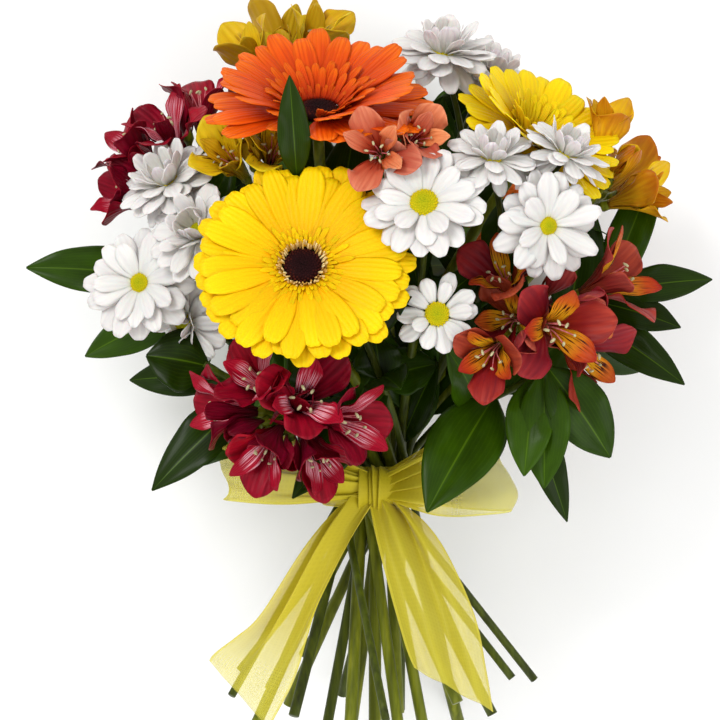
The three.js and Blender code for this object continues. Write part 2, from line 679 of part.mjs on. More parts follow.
function assemble(nodes) {
  const guardsOf = (node, kind) => node.pieces.flatMap((piece) => piece[kind]())
    .map((solid) => ({ node, solid, box: solid.boundingBox() }));
  const taken = nodes.flatMap((node) => guardsOf(node, "firm"));
  const table = solidOf(new THREE.BoxGeometry(1000, 1000, 100).translate(0, 0, -AXIS_HEIGHT - 50));
  return nodes.map((node) => {
    let whole = node.pieces.map((piece) => piece.real()).reduce((joined, solid) => joined.add(solid));
    const guards = guardsOf(node, "soft");
    if (guards.length) {
      const box = whole.boundingBox();
      for (const other of taken) {
        if (other.node !== node && boxesMeet(box, other.box)) whole = whole.subtract(other.solid);
      }
    }
    taken.push(...guards);
    return meshOf(node.name, largest(whole.subtract(table)), node.look);
  });
}

const nodes = [
  ...GERBERAS.flatMap(gerbera),
  ...DAISIES.flatMap(daisySpray),
  ...LILIES.flatMap(lily),
  ...GREENS.map(greenery),
  { name: "binding_twine", look: "twine", pieces: [band(BINDING)] },
  bow(),
];

const plants = new THREE.Group();
plants.add(...assemble(nodes));

const box = new THREE.Box3().setFromObject(plants);
const middle = box.getCenter(vec(0, 0, 0));
plants.position.set(-middle.x, -middle.y, AXIS_HEIGHT);

const bouquet = new THREE.Group();
bouquet.add(plants);

export default bouquet;
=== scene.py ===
# %% [markdown]
# # A hand-tied bouquet, lying on its back
#
# Gerberas, white daisy chrysanthemums, alstroemerias and glossy leaves go through one tie in a
# spiral, and a sheer organza bow hides the twine. The imported model gives where each bloom, stem
# and leaf is. This script gives them their petals, veins, pollen, sheen and weave.
#
# The plan of every step is the same. One petal, leaf or floret is modelled flat. It is
# then copied, and each copy gets its own length, lift, bend and tint, so that no two are alike.

import math
import random

import bmesh
import bpy
import numpy as np
from mathutils import Matrix, Vector


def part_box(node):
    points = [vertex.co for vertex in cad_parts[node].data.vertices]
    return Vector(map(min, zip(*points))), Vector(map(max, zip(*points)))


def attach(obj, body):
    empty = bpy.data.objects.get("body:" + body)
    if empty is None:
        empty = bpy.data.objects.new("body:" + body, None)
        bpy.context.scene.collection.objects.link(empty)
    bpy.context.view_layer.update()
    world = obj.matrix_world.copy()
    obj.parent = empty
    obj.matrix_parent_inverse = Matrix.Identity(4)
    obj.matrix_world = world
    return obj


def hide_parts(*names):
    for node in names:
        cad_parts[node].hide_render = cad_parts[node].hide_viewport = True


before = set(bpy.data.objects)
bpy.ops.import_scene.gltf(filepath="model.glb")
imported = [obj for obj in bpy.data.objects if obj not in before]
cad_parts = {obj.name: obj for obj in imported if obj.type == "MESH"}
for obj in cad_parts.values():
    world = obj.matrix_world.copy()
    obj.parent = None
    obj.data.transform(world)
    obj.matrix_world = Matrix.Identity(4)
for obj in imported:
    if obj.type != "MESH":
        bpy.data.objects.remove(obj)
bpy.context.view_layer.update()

# %% [markdown]
# The layout is drawn from the middle of the tie: X to the right, Y towards the flower heads and
# Z up, in millimetres. The twine's box says where the tie is, and `spot` turns a place of the
# drawing into metres on the table.

# %% Where the tie is
MM = 0.001
twine_low, twine_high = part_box("binding_twine")
TIE = (twine_low + twine_high) / 2


def spot(x, y, z):
    return TIE + Vector((x, y, z)) * MM


print("tie at", [round(value, 4) for value in TIE])

# %% [markdown]
# The photograph looks straight at the bouquet, so the camera hangs over the table and looks down.
# A long lens from two metres shows 360 mm at the height of the tie, with the heads at the top.

# %% Camera
CAMERA_SPOT = (-7.5, 64, 2000)
LENS_MM, SENSOR_MM = 200, 36

bpy.ops.object.camera_add(location=spot(*CAMERA_SPOT), rotation=(0, 0, 0))
camera = bpy.context.object
camera.data.sensor_width = SENSOR_MM
camera.data.lens = LENS_MM
bpy.context.scene.camera = camera
print("the picture spans", CAMERA_SPOT[2] * SENSOR_MM / LENS_MM, "mm")

# %% [markdown]
# A studio shot of cut flowers has a white table and large soft lights. The main light stands to
# the upper left, and a weaker one opposite it and a low one at the stems keep the shaded petals
# clean. The Standard view keeps the petals as saturated as the photograph shows them.

# %% Floor, lights and view
TABLE_SIZE = 12  # metres, far past the edges of the picture
TABLE_DROP = 0.5 * MM  # keeps the table just under what rests at zero
HEADS = spot(0, 80, 40)  # the lights point at the flower heads

bpy.context.scene.view_settings.view_transform = "Standard"
bpy.ops.mesh.primitive_plane_add(size=TABLE_SIZE, location=(0, 0, -TABLE_DROP))
floor = bpy.context.object
floor.name = "studio_table"


def softbox(name, place, size, power):
    """A round soft light. The place and size are in metres, and the power is in watts."""
    bpy.ops.object.light_add(type="AREA", location=place)
    lamp = bpy.context.object
    lamp.name = name
    lamp.data.shape = "DISK"
    lamp.data.size = size
    lamp.data.energy = power
    lamp.rotation_euler = (HEADS - lamp.location).to_track_quat("-Z", "Y").to_euler()
    print(name, power, "W")


softbox("key_softbox", (-0.9, 1.0, 1.7), 0.9, 21)
softbox("fill_softbox", (1.2, -0.4, 1.6), 1.4, 11)
softbox("low_softbox", (0.2, -1.7, 0.9), 1.2, 8)

# %% [markdown]
# A colour is written as the sRGB hex value that a colour picker shows, and Blender's shaders want
# linear light, so one function turns one into the other. Another adds a node with its settings
# and its links, which keeps each material below down to what makes it look as it does.

# %% Colours and nodes


def linear(shade):
    """The linear colour of an sRGB hex value."""
    parts = [int(shade[i:i + 2], 16) / 255 for i in (0, 2, 4)]
    return [part / 12.92 if part <= 0.04045 else ((part + 0.055) / 1.055) ** 2.4 for part in parts] + [1]


def add(tree, kind, inputs=None, stops=None, out=0, **settings):
    """Adds a node and returns its first output, or `out`. kind: its type without `ShaderNode`.
    inputs: each is a value or another node's output. stops: of a colour ramp."""
    made = tree.nodes.new("ShaderNode" + kind)
    for name, value in settings.items():
        setattr(made, name, value)
    for name, value in (inputs or {}).items():
        if isinstance(value, bpy.types.NodeSocket):
            tree.links.new(value, made.inputs[name])
        else:
            made.inputs[name].default_value = value
    if stops:
        while len(made.color_ramp.elements) < len(stops):
            made.color_ramp.elements.new(0.5)
        for element, (place, shade) in zip(made.color_ramp.elements, stops):
            element.position = place
            element.color = linear(shade)
    return made.outputs[out]


def new_material(name, **constants):
    """A material, its node tree and its shader. An underscore stands for a space in a socket's name."""
    material = bpy.data.materials.new(name)
    material.use_nodes = True
    shader = material.node_tree.nodes["Principled BSDF"]
    for socket, value in constants.items():
        shader.inputs[socket.replace("_", " ")].default_value = value
    return material, material.node_tree, shader


def surfaced(tree, shader, colour, height, strength, depth):
    """Gives a shader its colour and its relief. The depth of the relief is in mm."""
    tree.links.new(colour, shader.inputs["Base Color"])
    bump = add(tree, "Bump", {"Height": height, "Strength": strength, "Distance": depth * MM})
    tree.links.new(bump, shader.inputs["Normal"])


# %% [markdown]
# The table is matt white paint, a touch uneven, as a rolled coat is. White light from all round
# fills the shadows, so that the air about the bouquet is as bright as in the photograph.

# %% Table and backdrop
BACKDROP_STRENGTH = 0.8

table, tree, shader = new_material("matt_white_paint", Roughness=0.9)
grain = add(tree, "TexNoise", {"Scale": 40.0})
tone = add(tree, "ValToRGB", {"Fac": grain}, [(0, "FAFAFA"), (1, "FFFFFF")])
tree.links.new(tone, shader.inputs["Base Color"])
floor.data.materials.append(table)

world = bpy.data.worlds.new("studio")
bpy.context.scene.world = world
world.use_nodes = True
backdrop = world.node_tree.nodes["Background"]
backdrop.inputs["Color"].default_value = (1, 1, 1, 1)
backdrop.inputs["Strength"].default_value = BACKDROP_STRENGTH
print("backdrop strength", BACKDROP_STRENGTH)

# %% [markdown]
# ## Petal materials
#
# A petal is a few layers of cells with air between them: satin, slightly see-through, with fine
# ribs that run from root to tip. Its UV map runs across it in U and along it in V, so one recipe
# fits every petal: a ramp along V, ribs and darker streaks across U, and a tint that differs from
# copy to copy. The streaks are partly the petal's own streaking and partly painted shade for the
# grooves between the ribs. A little subsurface light gives the glow of a thin petal.

# %% One recipe for petals
ONE_WAVE = math.pi / 10  # the wave texture's scale that gives one wave a unit
STREAK_ALONG = 1.6  # streaks are long and thin: few along the petal, many across
STREAKS_A_RIB = 1.7
PATTERN_SHIFT = 37.0  # a petal's tint slides its pattern by up to this, so that no two are alike


def petal_material(name, stops, streak_and_groove_shade, amount, ribs, roughness=0.5, marks=None, glow=0.12, spread=0.12,
                   drift=0):
    """marks: colour, how many dashes across and along, where they start and end, how rare they are.
    spread and drift: how far the brightness and the hue differ between petals."""
    material, tree, shader = new_material(
        name, Roughness=roughness, Specular_IOR_Level=0.1, Subsurface_Weight=glow,
        Subsurface_Scale=1.5 * MM)
    uv = add(tree, "UVMap", uv_map="UVMap")
    along = add(tree, "SeparateXYZ", {"Vector": uv}, out="Y")
    tint = add(tree, "Attribute", attribute_name="tint", out="Fac")
    own = add(tree, "Math", {0: tint, 1: PATTERN_SHIFT}, operation="MULTIPLY")

    def streaks(across, length, detail):
        shift = add(tree, "CombineXYZ", {"X": own, "Y": own, "Z": 0.0})
        scaled = add(tree, "VectorMath", {0: uv, 1: (across, length, 1), 2: shift}, operation="MULTIPLY_ADD")
        return add(tree, "TexNoise", {"Vector": scaled, "Scale": 1.0, "Detail": detail})

    base = add(tree, "ValToRGB", {"Fac": along}, stops)
    cells = streaks(ribs * STREAKS_A_RIB, STREAK_ALONG, 3.0)
    # Darker streaks: partly the petal's own streaking, partly painted shade for the grooves between its ribs.
    streak_and_shade_weight = add(tree, "MapRange", {
        "Value": cells, "From Min": 0.38, "From Max": 0.68, "To Max": amount})
    colour = add(tree, "Mix", {0: streak_and_shade_weight, 6: base, 7: linear(streak_and_groove_shade)}, out=2, data_type="RGBA")
    if marks:
        shade, across, length, start, end, rare = marks
        dashes = add(tree, "MapRange", {
            "Value": streaks(across, length, 1.0), "From Min": rare, "From Max": rare + 0.06})
        rise = add(tree, "MapRange", {
            "Value": along, "From Min": start, "From Max": start + 0.12})
        fall = add(tree, "MapRange", {
            "Value": along, "From Min": end, "From Max": end - 0.14})
        zone = add(tree, "Math", {0: rise, 1: fall}, operation="MULTIPLY")
        shown = add(tree, "Math", {0: dashes, 1: zone}, operation="MULTIPLY")
        colour = add(tree, "Mix", {0: shown, 6: colour, 7: linear(shade)}, out=2, data_type="RGBA")
    bright = add(tree, "MapRange", {
        "Value": tint, "To Min": 1 - spread, "To Max": 1 + spread * 0.4})
    hue = add(tree, "MapRange", {
        "Value": own, "From Max": PATTERN_SHIFT, "To Min": 0.5 - drift, "To Max": 0.5 + drift})
    toned = add(tree, "HueSaturation", {"Hue": hue, "Value": bright, "Color": colour})
    waves = add(tree, "TexWave", {
        "Vector": uv, "Scale": ribs * ONE_WAVE, "Distortion": 0.6, "Detail": 1.0,
        "Detail Scale": 1.5}, out="Fac", bands_direction="X")
    relief = add(tree, "Math", {0: waves, 1: cells}, operation="ADD")
    surfaced(tree, shader, toned, relief, 0.55, 0.35)
    return material


# %% [markdown]
# The colours follow the photograph. The yellow gerberas are almost flat yellow, a little deeper at
# the root, and one is more of a lemon. The orange ones redden towards the eye. The daisies are
# white, and their lilac-grey streaks are painted shade for their grooves. Each finish is a pair,
# for the face of the petal and for its back.

# %% Gerbera and daisy petals
YELLOW = (
    petal_material("gerbera_petal_yellow", [(0, "F0A000"), (0.3, "F6B600"), (0.7, "F8C602"), (1, "F8D208")],
                   "F0A800", 0.25, 5, glow=0.2),
    petal_material("gerbera_petal_yellow_back", [(0, "C8AC10"), (1, "ECCC18")], "C09810", 0.4, 5),
)
LEMON = (
    petal_material("gerbera_petal_lemon", [(0, "D89C00"), (0.3, "E8BC00"), (0.7, "F0CC04"), (1, "F4D810")],
                   "DCA400", 0.3, 5, glow=0.2),
    YELLOW[1],
)
ORANGE = (
    petal_material("gerbera_petal_orange", [(0, "8A1604"), (0.25, "C83604"), (0.7, "E45404"), (1, "F47410")],
                   "B83004", 0.6, 6, glow=0.2),
    petal_material("gerbera_petal_orange_back", [(0, "C85818"), (1, "E4742A")], "B84410", 0.5, 6),
)
# The lilac-grey streak colours of the daisies are painted shade for their grooves.
WHITE = (
    petal_material("daisy_petal_white", [(0, "D0D0A8"), (0.16, "DAD8D2"), (1, "E6E3DF")],
                   "C6C0C4", 0.4, 3, glow=0.1, spread=0.06),
    petal_material("daisy_petal_white_back", [(0, "CCCEB8"), (1, "DED8DA")], "C4B4BE", 0.5, 3, glow=0.1,
                   spread=0.08),
)
print("petal finishes", [look.name for look in YELLOW + LEMON[:1] + ORANGE + WHITE])

# %% [markdown]
# The dark red alstroemerias have pale streaks on their narrow tepals, the lips. The coral ones have
# brown dashes there, which lead a bee to the nectar, and the salmon, gold and citron ones have
# them all round. Apart from the red lips, the tepals of one sort share their ribs and sheen, and
# how far their colours differ.

# %% Alstroemeria tepals
CRIMSON = {"ribs": 6, "roughness": 0.42, "spread": 0.4, "drift": 0.003}
BLUSHED = {"ribs": 5, "roughness": 0.42, "spread": 0.22, "drift": 0.012}
FRECKLED = {"ribs": 5, "roughness": 0.42, "spread": 0.34, "drift": 0.012}
# The red ramps darken to near black at the root: painted shade inside the trumpet, over the tepals' own deep
# crimson.
RED = (
    petal_material("alstroemeria_red", [(0, "38020A"), (0.3, "6C0416"), (0.62, "A80A28"), (1, "960C24")],
                   "50020E", 0.6, **CRIMSON),
    petal_material("alstroemeria_red_back", [(0, "4C0C16"), (0.6, "90082A"), (1, "740A1E")],
                   "520412", 0.55, **CRIMSON),
)
RED_LIP = (
    petal_material("alstroemeria_red_lip", [(0, "4A060E"), (0.3, "B01834"), (0.6, "C01634"), (1, "9A0C26")],
                   "7A0418", 0.6, ribs=7, roughness=0.42, spread=0.2,
                   marks=("ECAAB8", 26, 1.3, 0.12, 0.84, 0.505)),
    RED[1],
)
CORAL = (
    petal_material("alstroemeria_coral", [(0, "9E5414"), (0.25, "902A12"), (0.6, "8A2018"), (1, "AC4030")],
                   "660E18", 0.6, **BLUSHED),
    petal_material("alstroemeria_coral_back", [(0, "7A421C"), (0.5, "963228"), (1, "B45444")],
                   "741A24", 0.5, **BLUSHED),
)
CORAL_LIP = (
    petal_material("alstroemeria_coral_lip",
                   [(0, "CC8C10"), (0.55, "E4A81C"), (0.8, "C85C18"), (1, "A03018")],
                   "B85014", 0.3, marks=("40100A", 15, 2.6, 0.12, 0.88, 0.55), **BLUSHED),
    CORAL[1],
)
SALMON = (
    petal_material("alstroemeria_salmon", [(0, "A83C10"), (0.4, "D05C34"), (1, "EC966C")],
                   "BC4828", 0.5, marks=("7A2010", 13, 2.4, 0.15, 0.6, 0.62), **FRECKLED),
    petal_material("alstroemeria_salmon_back", [(0, "A85028"), (1, "EEA07C")], "CC6A48", 0.5, **FRECKLED),
)
GOLD = (
    petal_material("alstroemeria_gold", [(0, "B8860A"), (0.4, "DAA80C"), (0.8, "E8BC10"), (1, "D0A00E")],
                   "C0800C", 0.5, marks=("6A3A0A", 14, 2.4, 0.15, 0.8, 0.57), **BLUSHED),
    petal_material("alstroemeria_gold_back", [(0, "9A8010"), (0.6, "DEA414"), (1, "C07412")],
                   "AC5A10", 0.6, **BLUSHED),
)
CITRON = (
    petal_material("alstroemeria_citron", [(0, "AC9010"), (0.4, "DAB00C"), (0.8, "E6C018"), (1, "D2B41C")],
                   "BC8C0C", 0.4, marks=("6A3A0A", 14, 2.4, 0.15, 0.8, 0.56), **BLUSHED),
    petal_material("alstroemeria_citron_back", [(0, "848212"), (0.5, "CEAA18"), (1, "C4A21C")],
                   "A88410", 0.45, **BLUSHED),
)
print("tepal finishes", [pair[0].name for pair in (RED, RED_LIP, CORAL, CORAL_LIP, SALMON, GOLD, CITRON)])

# %% [markdown]
# ## Green parts, pollen and twine
#
# Leaves are glossy above, where a wax coat seals them, and matt grey-green below. Fine veins run
# from root to tip and meet there, so they follow U, and a pale midrib lies between them.

# %% Leaf finishes
VEINS_ACROSS = 16  # a real leaf has about two a millimetre, which would not show


def from_middle(tree, uv):
    """How far a place is from the middle line of a blade or a ribbon, up to 0.5 at its edge."""
    across = add(tree, "SeparateXYZ", {"Vector": uv})
    off = add(tree, "Math", {0: across, 1: 0.5}, operation="SUBTRACT")
    return add(tree, "Math", {0: off}, operation="ABSOLUTE")


def leaf_material(name, stops, vein, roughness, coat):
    """stops: from the green of the darkest leaves to that of the lightest. vein: of the midrib."""
    material, tree, shader = new_material(
        name, Roughness=roughness, Specular_IOR_Level=0.08, Coat_Weight=coat, Coat_Roughness=0.2)
    uv = add(tree, "UVMap", uv_map="UVMap")
    tint = add(tree, "Attribute", attribute_name="tint", out="Fac")
    # Blotches lighten and darken the green: partly the leaf's own mottling, partly painted soft highlight.
    blotch_and_highlight = add(tree, "TexNoise", {"Vector": uv, "Scale": 3.0, "Detail": 3.0})
    mixed = add(tree, "Math", {0: blotch_and_highlight, 1: tint}, operation="ADD")
    half = add(tree, "Math", {0: mixed, 1: 0.5}, operation="MULTIPLY")
    base = add(tree, "ValToRGB", {"Fac": half}, stops)
    veins = add(tree, "TexWave", {"Vector": uv, "Scale": VEINS_ACROSS * ONE_WAVE, "Distortion": 0.4},
                out="Fac", bands_direction="X")
    rib = add(tree, "MapRange", {
        "Value": from_middle(tree, uv), "From Min": 0.02, "From Max": 0.008, "To Max": 0.42})
    faint = add(tree, "MapRange", {
        "Value": veins, "From Min": 0.75, "From Max": 1.0, "To Max": 0.05})
    shown = add(tree, "Math", {0: faint, 1: rib}, operation="MAXIMUM")
    colour = add(tree, "Mix", {0: shown, 6: base, 7: linear(vein)}, out=2, data_type="RGBA")
    relief = add(tree, "Math", {0: veins, 1: rib}, operation="SUBTRACT")
    surfaced(tree, shader, colour, relief, 0.1, 0.2)
    return material


LEAF = (
    leaf_material("leaf_waxed_top", [(0.2, "162400"), (0.5, "203600"), (0.85, "365600")],
                  "5C7E12", 0.4, 0.08),
    leaf_material("leaf_matt_underside", [(0.2, "345016"), (0.8, "5C7A34")], "76944C", 0.6, 0.0),
)
SEPAL = (LEAF[1], LEAF[1])
print("leaf finishes", [look.name for look in LEAF])

# %% [markdown]
# Stems are streaked along their run, and a fresh cut shows the pale wet pith. Both are noise: in
# the stems it is stretched along the bouquet, and in the pith, the pollen and the jute it is a
# grain, alike in all directions.

# %% Stem, stamen and twine finishes
STREAKED = 0.05  # a streak is twenty times as long as it is wide


def grained_material(name, stops, grains, depth, along=1, **constants):
    """grains: how many there are in a metre. along: how many of them there are along the bouquet for
    each one across. depth: of the relief, in mm."""
    material, tree, shader = new_material(name, **constants)
    place = add(tree, "TexCoord", out="Object")
    scaled = add(tree, "Mapping", {"Vector": place, "Scale": (grains, grains * along, grains)})
    noise = add(tree, "TexNoise", {"Vector": scaled, "Scale": 1.0, "Detail": 3.0})
    surfaced(tree, shader, add(tree, "ValToRGB", {"Fac": noise}, stops), noise, 0.5, depth)
    return material


STEM = grained_material("stem_skin", [(0.25, "404602"), (0.5, "606808"), (0.75, "82861E")],
                        300, 0.1, STREAKED, Roughness=0.42, Specular_IOR_Level=0.2)
DARK_STEM = grained_material("stem_skin_dark", [(0.25, "262C02"), (0.5, "3A4404"), (0.8, "545E08")],
                             300, 0.1, STREAKED, Roughness=0.45, Specular_IOR_Level=0.2)
PITH = grained_material("cut_stem_pith", [(0.3, "B9C08A"), (0.7, "E2E4BE")], 900, 0.2, Roughness=0.6)
FILAMENT = grained_material("stamen_filament", [(0.3, "C8405A"), (0.7, "E8A0A0")], 600, 0.05, Roughness=0.5)
ANTHER = grained_material("anther_pollen", [(0.3, "8A8A5A"), (0.7, "D8D2A8")], 2500, 0.2, Roughness=0.9)
TWINE = grained_material("jute_twine", [(0.3, "7C6840"), (0.7, "B49C68")], 1200, 0.3, Roughness=0.95)
print("stem finishes", STEM.name, DARK_STEM.name)

# %% [markdown]
# The disc of a daisy is green in the middle, where its florets are still shut, and yellow at the
# rim. A gerbera's dark eye reddens outwards, and the pollen florets round it are brown to cream.
# So the colour of a floret comes from its own tint, and a grain of 0.4 mm roughens it.

# %% Disc and pollen finishes
FLORET_GRAINS = 2500.0  # in a metre


def floret_material(name, stops, **constants):
    material, tree, shader = new_material(name, **constants)
    tint = add(tree, "Attribute", attribute_name="tint", out="Fac")
    colour = add(tree, "ValToRGB", {"Fac": tint}, stops)
    place = add(tree, "TexCoord", out="Object")
    noise = add(tree, "TexNoise", {"Vector": place, "Scale": FLORET_GRAINS})
    surfaced(tree, shader, colour, noise, 0.5, 0.2)
    return material


DISC = floret_material("daisy_disc_florets", [(0, "98A412"), (0.45, "BAB410"), (1, "D6BE10")],
                       Roughness=0.75, Specular_IOR_Level=0.1)
EYE = floret_material("gerbera_eye_florets", [(0, "140404"), (0.6, "24080A"), (1, "44160E")],
                      Roughness=0.7, Specular_IOR_Level=0.08)
FRINGE = floret_material("gerbera_pollen_fringe", [(0, "6A3A10"), (0.35, "C89A48"), (1, "F0DCA0")],
                         Roughness=0.8, Specular_IOR_Level=0.1)
print("floret finishes", [look.name for look in (DISC, EYE, FRINGE)])

# %% [markdown]
# ## A petal, flat
#
# A petal starts as a grid that lies along Y with its face up. Its columns are lifted to make the
# channel or the ribs, its rows are scaled to the outline, and the ends of its columns are pulled
# back, which rounds or points the tip. Solidify then gives the petal its thickness, and puts the
# underside in a second material slot. All of it is done by the tools of edit mode, so the
# numbers are the petal's own: widths in millimetres, and one share of the width for each row.

# %% Selecting and walling


def activate(*pieces):
    """Selects these objects and no others, and works on the first."""
    bpy.ops.object.select_all(action="DESELECT")
    for piece in pieces:
        piece.select_set(True)
    bpy.context.view_layer.objects.active = pieces[0]


def select_points(where):
    """Selects the points for which `where` holds, in edit mode."""
    mesh = bpy.context.object.data
    shape = bmesh.from_edit_mesh(mesh)
    for vertex in shape.verts:
        vertex.select = where(vertex)
    shape.select_flush_mode()
    bmesh.update_edit_mesh(mesh)


def walled(made, thick, offset, back=0):
    """Gives a sheet its thickness, in mm. An offset of -1 puts it under the sheet and 0 half to each
    side, and back is the material slot of the underside."""
    wall = made.modifiers.new("wall", "SOLIDIFY")
    wall.thickness = thick * MM
    wall.offset = offset
    wall.material_offset = back
    bpy.ops.object.modifier_apply(modifier=wall.name)
    bpy.ops.object.shade_smooth()


# %% Shaping a blank
PULLED_BACK = ((0, 1), (1, 0.35))  # the last row is pulled back in full, and the one before it less


def blank(name, width, length, thick, outline, channel, tip):
    """A flat petal or leaf. outline: one share of the width for each row. channel and tip: for each
    column from the middle to the edge, how far it is lifted, and how far its end is pulled back."""
    rows = len(outline) - 1
    half = len(channel) - 1

    def select(where):
        select_points(lambda vertex: where(*divmod(vertex.index, 2 * half + 1)))

    bpy.ops.object.select_all(action="DESELECT")
    bpy.ops.mesh.primitive_grid_add(
        x_subdivisions=2 * half, y_subdivisions=rows, size=1, enter_editmode=True)
    made = bpy.context.object
    made.name = name
    bpy.ops.transform.resize(value=(width * MM, length * MM, 1), center_override=(0, 0, 0))
    bpy.ops.transform.translate(value=(0, length * MM / 2, 0))
    for step, lift in enumerate(channel):
        select(lambda row, column: abs(column - half) == step)
        bpy.ops.transform.translate(value=(0, 0, lift * MM))
    for line, share in enumerate(outline):
        select(lambda row, column: row == line)
        bpy.ops.transform.resize(value=(share, 1, share ** 0.5), center_override=(0, 0, 0))
    for back, portion in PULLED_BACK:
        for step, pull in enumerate(tip):
            select(lambda row, column: abs(column - half) == step and row == rows - back)
            bpy.ops.transform.translate(value=(0, -pull * portion * MM, 0))
    bpy.ops.object.mode_set(mode="OBJECT")
    made.data.materials.append(None)
    made.data.materials.append(None)
    smooth = made.modifiers.new("smooth", "SUBSURF")
    smooth.levels = smooth.render_levels = 1
    bpy.ops.object.modifier_apply(modifier=smooth.name)
    walled(made, thick, offset=-1, back=1)
    made["width"] = width
    made["length"] = length
    print(name, len(made.data.polygons), "faces")
    return made


# %% [markdown]
# Seven blanks are enough for the whole bouquet. A gerbera's ray is ribbed and broad-ended, and a
# daisy's is narrower with a blunt tip. An alstroemeria's broad tepal is a shallow spoon, and its
# narrow one is channelled and pointed. The leaf is widest below its middle, with its midrib in a
# valley.

# %% The seven blanks
TEPAL_LENGTH = 39

gerbera_ray = blank(
    "gerbera_ray", 14, 42, 0.45, outline=(0.3, 0.58, 0.84, 0.97, 1, 0.99, 0.8),
    channel=(0.3, 0, 0.2, -0.35), tip=(0.9, 0, 1.2, 4.2))
fine_ray = blank(
    "fine_ray", 4, 18, 0.4, outline=(0.6, 0.8, 0.96, 1, 0.7), channel=(-0.2, 0.4), tip=(0, 1.6))
daisy_ray = blank(
    "daisy_ray", 11, 23, 0.4, outline=(0.34, 0.66, 0.88, 0.99, 1, 0.7),
    channel=(-0.2, 0.3, -0.4), tip=(0.4, 0, 3))
broad_tepal = blank(
    "broad_tepal", 22, TEPAL_LENGTH, 0.4,
    outline=(0.14, 0.22, 0.38, 0.58, 0.8, 0.95, 1, 0.98, 0.84),
    channel=(0, 0.2, 0.9, 1.8), tip=(-1.6, 0.2, 1.8, 5.4))
narrow_tepal = blank(
    "narrow_tepal", 11, TEPAL_LENGTH, 0.4,
    outline=(0.2, 0.3, 0.44, 0.62, 0.8, 0.95, 1, 0.9, 0.56),
    channel=(0, 0.4, 1.2), tip=(-1.4, 0.6, 3))
leaf_blade = blank(
    "leaf_blade", 26, 60, 0.45,
    outline=(0.12, 0.36, 0.6, 0.78, 0.9, 0.97, 1, 0.98, 0.93, 0.86, 0.76, 0.63, 0.46, 0.26, 0.04),
    channel=(0, 1.1, 1.7, 1.8, 1.2), tip=(0, 0, 0, 0, 0))
sepal_blade = blank(
    "sepal_blade", 4, 9, 0.5, outline=(0.7, 1, 0.8, 0.1), channel=(0.4, 0), tip=(0, 0))

# %% [markdown]
# A copy is bent about its own root. Its middle line starts at an angle, the lift, and turns by
# another, the bend, so it is an arc of a circle, and its points are carried along that arc. A
# twist turns the blade about its middle line, and a ruffle waves its edges. The same formula gave
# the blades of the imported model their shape, so a fine petal lies where the plain one does.

# %% Placing a copy
chance = random.Random(11)


def unit(x, y, z):
    return Vector((x, y, z)).normalized()


def about(value, spread):
    """The value, give or take a random share of it."""
    return value * (1 + chance.uniform(-spread, spread))


def spokes(way):
    """Two directions across a flower that faces `way`."""
    up = Vector((0, 0, 1)) if abs(way.y) > 0.95 else Vector((0, 1, 0))
    across = up.cross(way).normalized()
    return across, way.cross(across)


def stance(ahead, face, root):
    """The matrix that puts a blade's root at a place, growing `ahead` and facing `face`."""
    up = (face - ahead * face.dot(ahead)).normalized()
    return Matrix.Translation(spot(*root)) @ Matrix((ahead.cross(up), ahead, up)).transposed().to_4x4()


def placed(master, place, looks=None, tint=None):
    """A copy with its own mesh, moved by a matrix."""
    mesh = master.data.copy()
    mesh.transform(place)
    for index, look in enumerate(looks or ()):
        mesh.materials[index] = look
    if tint is not None:
        shades = mesh.attributes.get("tint") or mesh.attributes.new("tint", "FLOAT", "POINT")
        shades.data.foreach_set("value", np.full(len(mesh.vertices), tint, np.float32))
    made = bpy.data.objects.new(master.name, mesh)
    bpy.context.collection.objects.link(made)
    return made


def points_of(mesh):
    """The places of a mesh's points, three numbers each in one row."""
    points = np.empty(len(mesh.vertices) * 3, np.float32)
    mesh.vertices.foreach_get("co", points)
    return points


# %% Bending a copy
SECOND_WAVE = (0.35, 1.9)  # height and pace of the ruffle's finer wave, beside the first


def grown(master, place, looks, length, width, lift, bend, twist=0, ruffle=0):
    """A copy bent along its length and put in place. Lengths are in mm and angles in degrees."""
    made = placed(master, Matrix(), looks, chance.random())
    x, y, z = points_of(made.data).reshape(-1, 3).T
    share = y / (master["length"] * MM)
    edge = np.abs(x) / (master["width"] * MM / 2)
    run = share * chance.uniform(9, 14) + np.sign(x) * chance.uniform(0.6, 2) + chance.uniform(0, 6)
    wave = np.sin(run) + SECOND_WAVE[0] * np.sin(SECOND_WAVE[1] * run)
    z = z * width / master["width"] + ruffle * MM * edge ** 2 * wave * np.minimum(share * 2, 1)
    x = x * width / master["width"]
    spin = math.radians(twist) * share
    x, z = x * np.cos(spin) - z * np.sin(spin), x * np.sin(spin) + z * np.cos(spin)
    start = math.radians(lift)
    turn = math.radians(bend)
    angle = start + turn * share
    out = length * MM * (np.sin(angle) - math.sin(start)) / turn - z * np.sin(angle)
    high = length * MM * (math.cos(start) - np.cos(angle)) / turn + z * np.cos(angle)
    bent = np.stack((x, out, high), 1).astype(np.float32)
    made.data.vertices.foreach_set("co", bent.ravel())
    made.data.transform(place)
    return made


# %% [markdown]
# Nearly every flower is made of rings of such copies. A ring is evenly spaced at first, and then
# each petal strays from its place, size and angle by chance. How far is one number, which is small
# for a formal bloom and larger for a ragged one.

# %% A ring of petals
LIFT_STRAY, BEND_STRAY, TWIST_STRAY = 40, 60, 130  # degrees, in a ring that is as loose as can be


def stray(degrees, loose):
    return chance.uniform(-degrees, degrees) * loose


